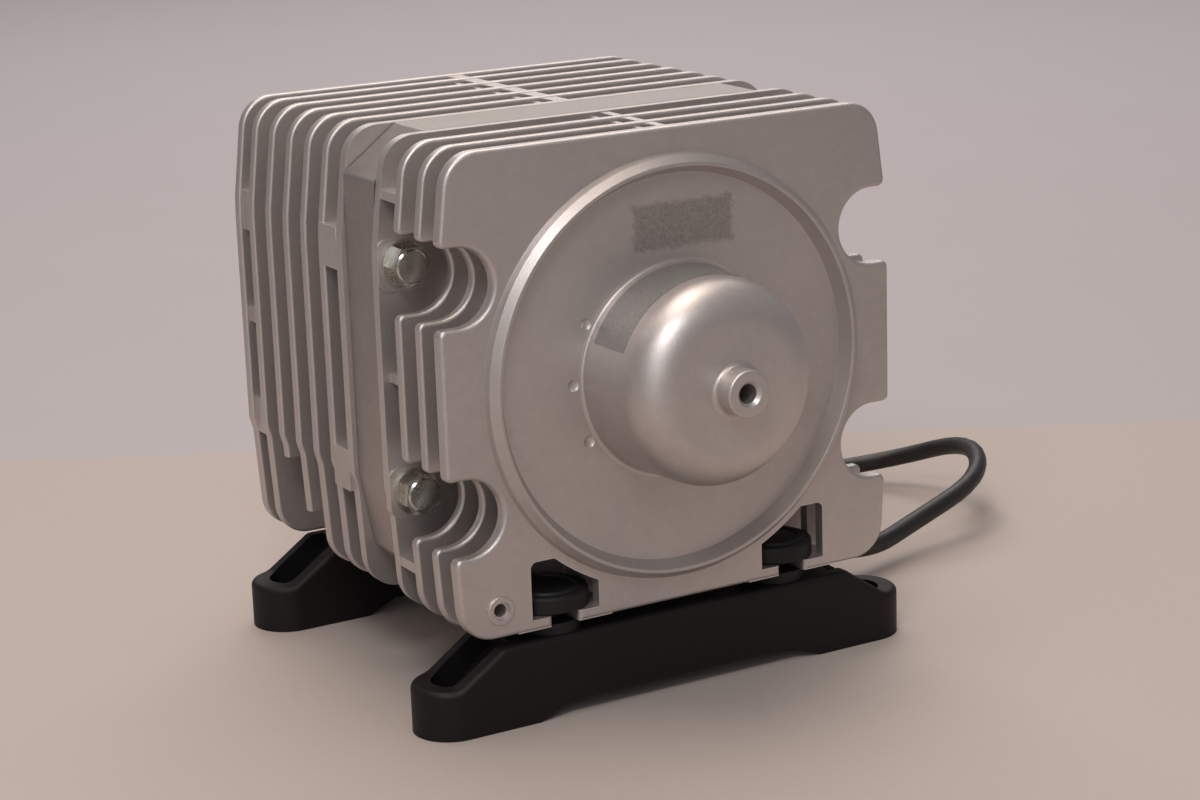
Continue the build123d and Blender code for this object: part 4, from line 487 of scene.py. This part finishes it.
def cord_route():
    """Control points of the cord from the gland to the plug."""
    tip = GLAND_FACE + GLAND_OUT * GLAND_REACH
    free = [
        tuple(tip),
        (0.110, -0.0063, 0.0151),
        (0.135, -0.0005, 0.0095),
        (0.159, 0.0075, 0.0130),
        (0.203, 0.015, 0.024),
        (0.228, 0.055, 0.0275),
        (0.215, 0.096, 0.011),
        (0.171, 0.111, 0.0075),
        (0.135, 0.126, 0.006),
        (0.098, 0.156, 0.0046),
    ]
    coil = [coil_point(swept) for swept in range(0, COIL_SWEEP + COIL_STEP, COIL_STEP)]
    back = COIL_CENTRE[1] + COIL_OUTER_R
    tail = [
        (PLUG_START_X + 0.004, back, 0.0122),
        (PLUG_START_X + 0.014, back, 0.0118),
        (PLUG_START_X + 0.030, back, PLUG_Z),
    ]
    return free + coil + tail


def make_cord():
    curve = bpy.data.curves.new("mains_cord", "CURVE")
    curve.dimensions = "3D"
    curve.bevel_depth = CORD_D / 2
    curve.bevel_resolution = 5
    curve.use_fill_caps = True
    curve.resolution_u = 6
    route = cord_route()
    spline = curve.splines.new("NURBS")
    spline.points.add(len(route) - 1)
    for point, place in zip(spline.points, route):
        point.co = (*place, 1.0)
    spline.order_u = 3
    spline.use_endpoint_u = True
    cord = bpy.data.objects.new("mains_cord", curve)
    bpy.context.scene.collection.objects.link(cord)
    finish_piece(cord, "cord_rubber", "power_cord", "cord_coil")
    return cord


# ---------------------------------------------------- gland, plug and tie
def make_gland():
    """Moulded strain relief: a collar on the frame, then ribs that taper to the cord."""
    profile = [
        (0.0, -0.0075),
        (0.0059, -0.0075),
        (0.0059, 0.0001),
        (0.0084, 0.0001),
        (0.0089, 0.0006),
        (0.0089, 0.0020),
        (0.0084, 0.0026),
        (0.0066, 0.0027),
    ]
    ribs = 6
    first_rib = 0.0034
    rib_pitch = 0.0030
    rib_radius = 0.0065
    rib_taper = 0.00022
    rib_depth = 0.0012
    for rib in range(ribs):
        start = first_rib + rib * rib_pitch
        outer = rib_radius - rib_taper * rib
        inner = outer - rib_depth
        profile += [
            (inner, start),
            (inner, start + 0.0009),
            (outer, start + 0.0013),
            (outer, start + 0.0026),
        ]
    profile += [(0.0046, GLAND_REACH - 0.0004), (0.0043, GLAND_REACH), (0.0, GLAND_REACH)]
    bm = bmesh.new()
    place = axis_matrix(GLAND_FACE, GLAND_OUT)
    sides = 40
    least_radius = 0.0002
    rings = []
    for radius, along in profile:
        radius = max(radius, least_radius)
        ring = [place @ Vector((radius * c, radius * sn, along)) for c, sn in circle(sides)]
        rings.append([bm.verts.new(point) for point in ring])
    bridge_rings(bm, rings)
    gland = mesh_object("strain_relief", bm)
    finish_piece(gland, "cord_rubber", "cord_gland")


def make_plug():
    """Moulded plug: ribbed tail, waisted grip and a flat face that holds the blades."""
    low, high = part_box("plug_body")
    middle_y = COIL_CENTRE[1] + COIL_OUTER_R
    full_w = (high.y - low.y) / 2
    full_h = (high.z - low.z) / 2
    start = PLUG_START_X + PLUG_TAIL
    sections = [(0.0, 0.0040, 0.0040, 2.0), (0.0006, 0.0048, 0.0048, 2.0)]
    ribs = 5
    first_rib = 0.0016
    rib_pitch = 0.0034
    rib_size = 0.0052
    rib_growth = 0.00045
    for rib in range(ribs):
        along = first_rib + rib * rib_pitch
        size = rib_size + rib * rib_growth
        sections += [
            (along, size, size, 2.0),
            (along + 0.0020, size, size, 2.0),
            (along + 0.0023, size - 0.0011, size - 0.0011, 2.0),
            (along + 0.0031, size - 0.0010, size - 0.0010, 2.0),
        ]
    length = high.x - start
    grip = [  # share of the length, half width, half height, squareness
        (0.37, 0.0076, 0.0066, 2.3),
        (0.42, 0.0090, 0.0078, 2.6),
        (0.52, 0.0108, 0.0094, 3.0),
        (0.58, 0.0104, 0.0090, 3.2),
        (0.66, 0.0102, 0.0088, 3.4),
        (0.74, 0.0108, 0.0094, 3.6),
        (0.82, 0.0122, 0.0104, 4.0),
        (0.86, full_w - 0.0003, full_h - 0.0003, 4.4),
        (0.97, full_w - 0.0003, full_h - 0.0003, 4.4),
        (0.99, full_w - 0.0008, full_h - 0.0008, 4.4),
        (1.0, full_w - 0.0020, full_h - 0.0020, 4.0),
    ]
    sections += [(share * length, w, h, power) for share, w, h, power in grip]
    bm = bmesh.new()
    rings = []
    sides = 56
    for along, half_w, half_h, power in sections:
        ring = []
        for c, sn in circle(sides):
            y = squared(half_w, c, 2 / power)
            z = squared(half_h, sn, 2 / power)
            ring.append(bm.verts.new((start + along, middle_y + y, PLUG_Z + z)))
        rings.append(ring)
    bridge_rings(bm, rings)
    plug = mesh_object("moulded_plug", bm)
    finish_piece(plug, "cord_rubber", "plug_body")
    return plug


def make_tie():
    """Wire tie: a flat closed band round the turns."""
    low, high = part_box("cord_tie")
    centre = (low + high) / 2
    margin = 0.0005
    half_w = (high.x - low.x) / 2 - margin
    half_h = (high.z - low.z) / 2 - margin
    squareness = 0.55
    half_band = 0.0017
    thickness = 0.001
    section = ((-1.0, 0.0), (-0.6, 0.45), (0.6, 0.45), (1.0, 0.0), (0.6, -0.2), (-0.6, -0.2))
    bm = bmesh.new()
    rings = []
    sides = 64
    for c, sn in circle(sides):
        x = squared(half_w, c, squareness)
        z = squared(half_h, sn, squareness)
        outward = Vector((x / half_w**2, 0.0, z / half_h**2)).normalized()
        base = Vector((centre.x + x, centre.y, centre.z + z))
        ring = []
        for side, lift in section:
            shift = Vector((0.0, side * half_band, 0.0))
            ring.append(bm.verts.new(base + shift + outward * lift * thickness))
        rings.append(ring)
    rings.append(rings[0])
    bridge_rings(bm, rings, close_ends=False)
    tie = mesh_object("cord_wire_tie", bm)
    finish_piece(tie, "tie_plastic", "cord_tie")
    return tie


cord = make_cord()
make_gland()
plug = make_plug()
tie = make_tie()


# ------------------------------------------------------- floor and lighting
FLOOR_HALF = 6.0
FLOOR_CUTS = 24
BACKDROP_FROM_CAMERA = 1.282  # level distance from the camera to where the tone changes
BACKDROP_BLUR = 0.004


def make_floor():
    """A wide pale floor that turns to the backdrop's tone behind the object."""
    bm = bmesh.new()
    ticks = [FLOOR_HALF * (2 * i / FLOOR_CUTS - 1) for i in range(FLOOR_CUTS + 1)]
    grid = [[bm.verts.new((x, y, 0.0)) for x in ticks] for y in ticks]
    for j in range(FLOOR_CUTS):
        for i in range(FLOOR_CUTS):
            bm.faces.new((grid[j][i], grid[j][i + 1], grid[j + 1][i + 1], grid[j + 1][i]))
    floor = mesh_object("floor", bm)
    s = Shader("floor_paper")
    x, y = s.parts(s.place())[:2]
    sine = math.sin(CAMERA_YAW)
    cosine = math.cos(CAMERA_YAW)
    away = s.math("ADD", s.math("MULTIPLY", x, sine), s.math("MULTIPLY", y, cosine))
    edge = CAMERA_PLACE[0] * sine + CAMERA_PLACE[1] * cosine + BACKDROP_FROM_CAMERA
    beyond = s.spread(away, edge - BACKDROP_BLUR, edge + BACKDROP_BLUR, 0.0, 1.0)
    grain = s.spread(s.noise(260.0, 5.0, 0.7), 0.3, 0.7, 0.0, 1.0)
    cloud = s.spread(s.noise(7.0, 4.0, 0.6), 0.3, 0.7, 0.0, 1.0)
    paper = s.mix(grain, (0.455, 0.390, 0.360), (0.472, 0.405, 0.373))
    paper = s.mix(s.math("MULTIPLY", cloud, 0.35), paper, (0.442, 0.379, 0.349))
    wall = s.mix(cloud, (0.430, 0.394, 0.408), (0.437, 0.400, 0.414))
    s.colour(s.mix(beyond, paper, wall))
    s.set("Roughness", 0.85)
    s.bump((s.noise(300.0, 4.0, 0.6), 0.10, 0.0002))
    floor.data.materials.append(s.material)


def area_light(name, place, target, size, watts, colour):
    data = bpy.data.lights.new(name, "AREA")
    data.shape = "RECTANGLE"
    data.size, data.size_y = size
    data.energy = watts
    data.color = colour
    light = bpy.data.objects.new(name, data)
    light.location = place
    light.rotation_euler = (Vector(target) - Vector(place)).to_track_quat("-Z", "Y").to_euler()
    bpy.context.scene.collection.objects.link(light)


make_floor()
area_light("ceiling", (-0.10, 0.10, 1.6), (0.0, 0.0, 0.0), (0.9, 0.8), 11.0, (1.0, 0.86, 0.74))
area_light("key", (-0.62, -0.72, 1.05), (0.0, 0.0, 0.1), (0.42, 0.36), 6.0, (1.0, 0.96, 0.94))
area_light("back_ceiling", (0.90, 1.55, 1.8), (0.9, 1.4, 0.0), (1.8, 1.8), 31.0, (1.0, 0.95, 0.91))
area_light("front_window", (-0.90, -1.20, 0.55), (0.0, 0.0, 0.1), (0.9, 0.8), 2.6, (0.96, 0.98, 1.0))
world = bpy.data.worlds.new("studio")
world.use_nodes = True
world.node_tree.nodes["Background"].inputs["Color"].default_value = (0.86, 0.85, 0.87, 1.0)
world.node_tree.nodes["Background"].inputs["Strength"].default_value = 0.27
bpy.context.scene.world = world
bpy.context.scene.view_settings.view_transform = "Standard"
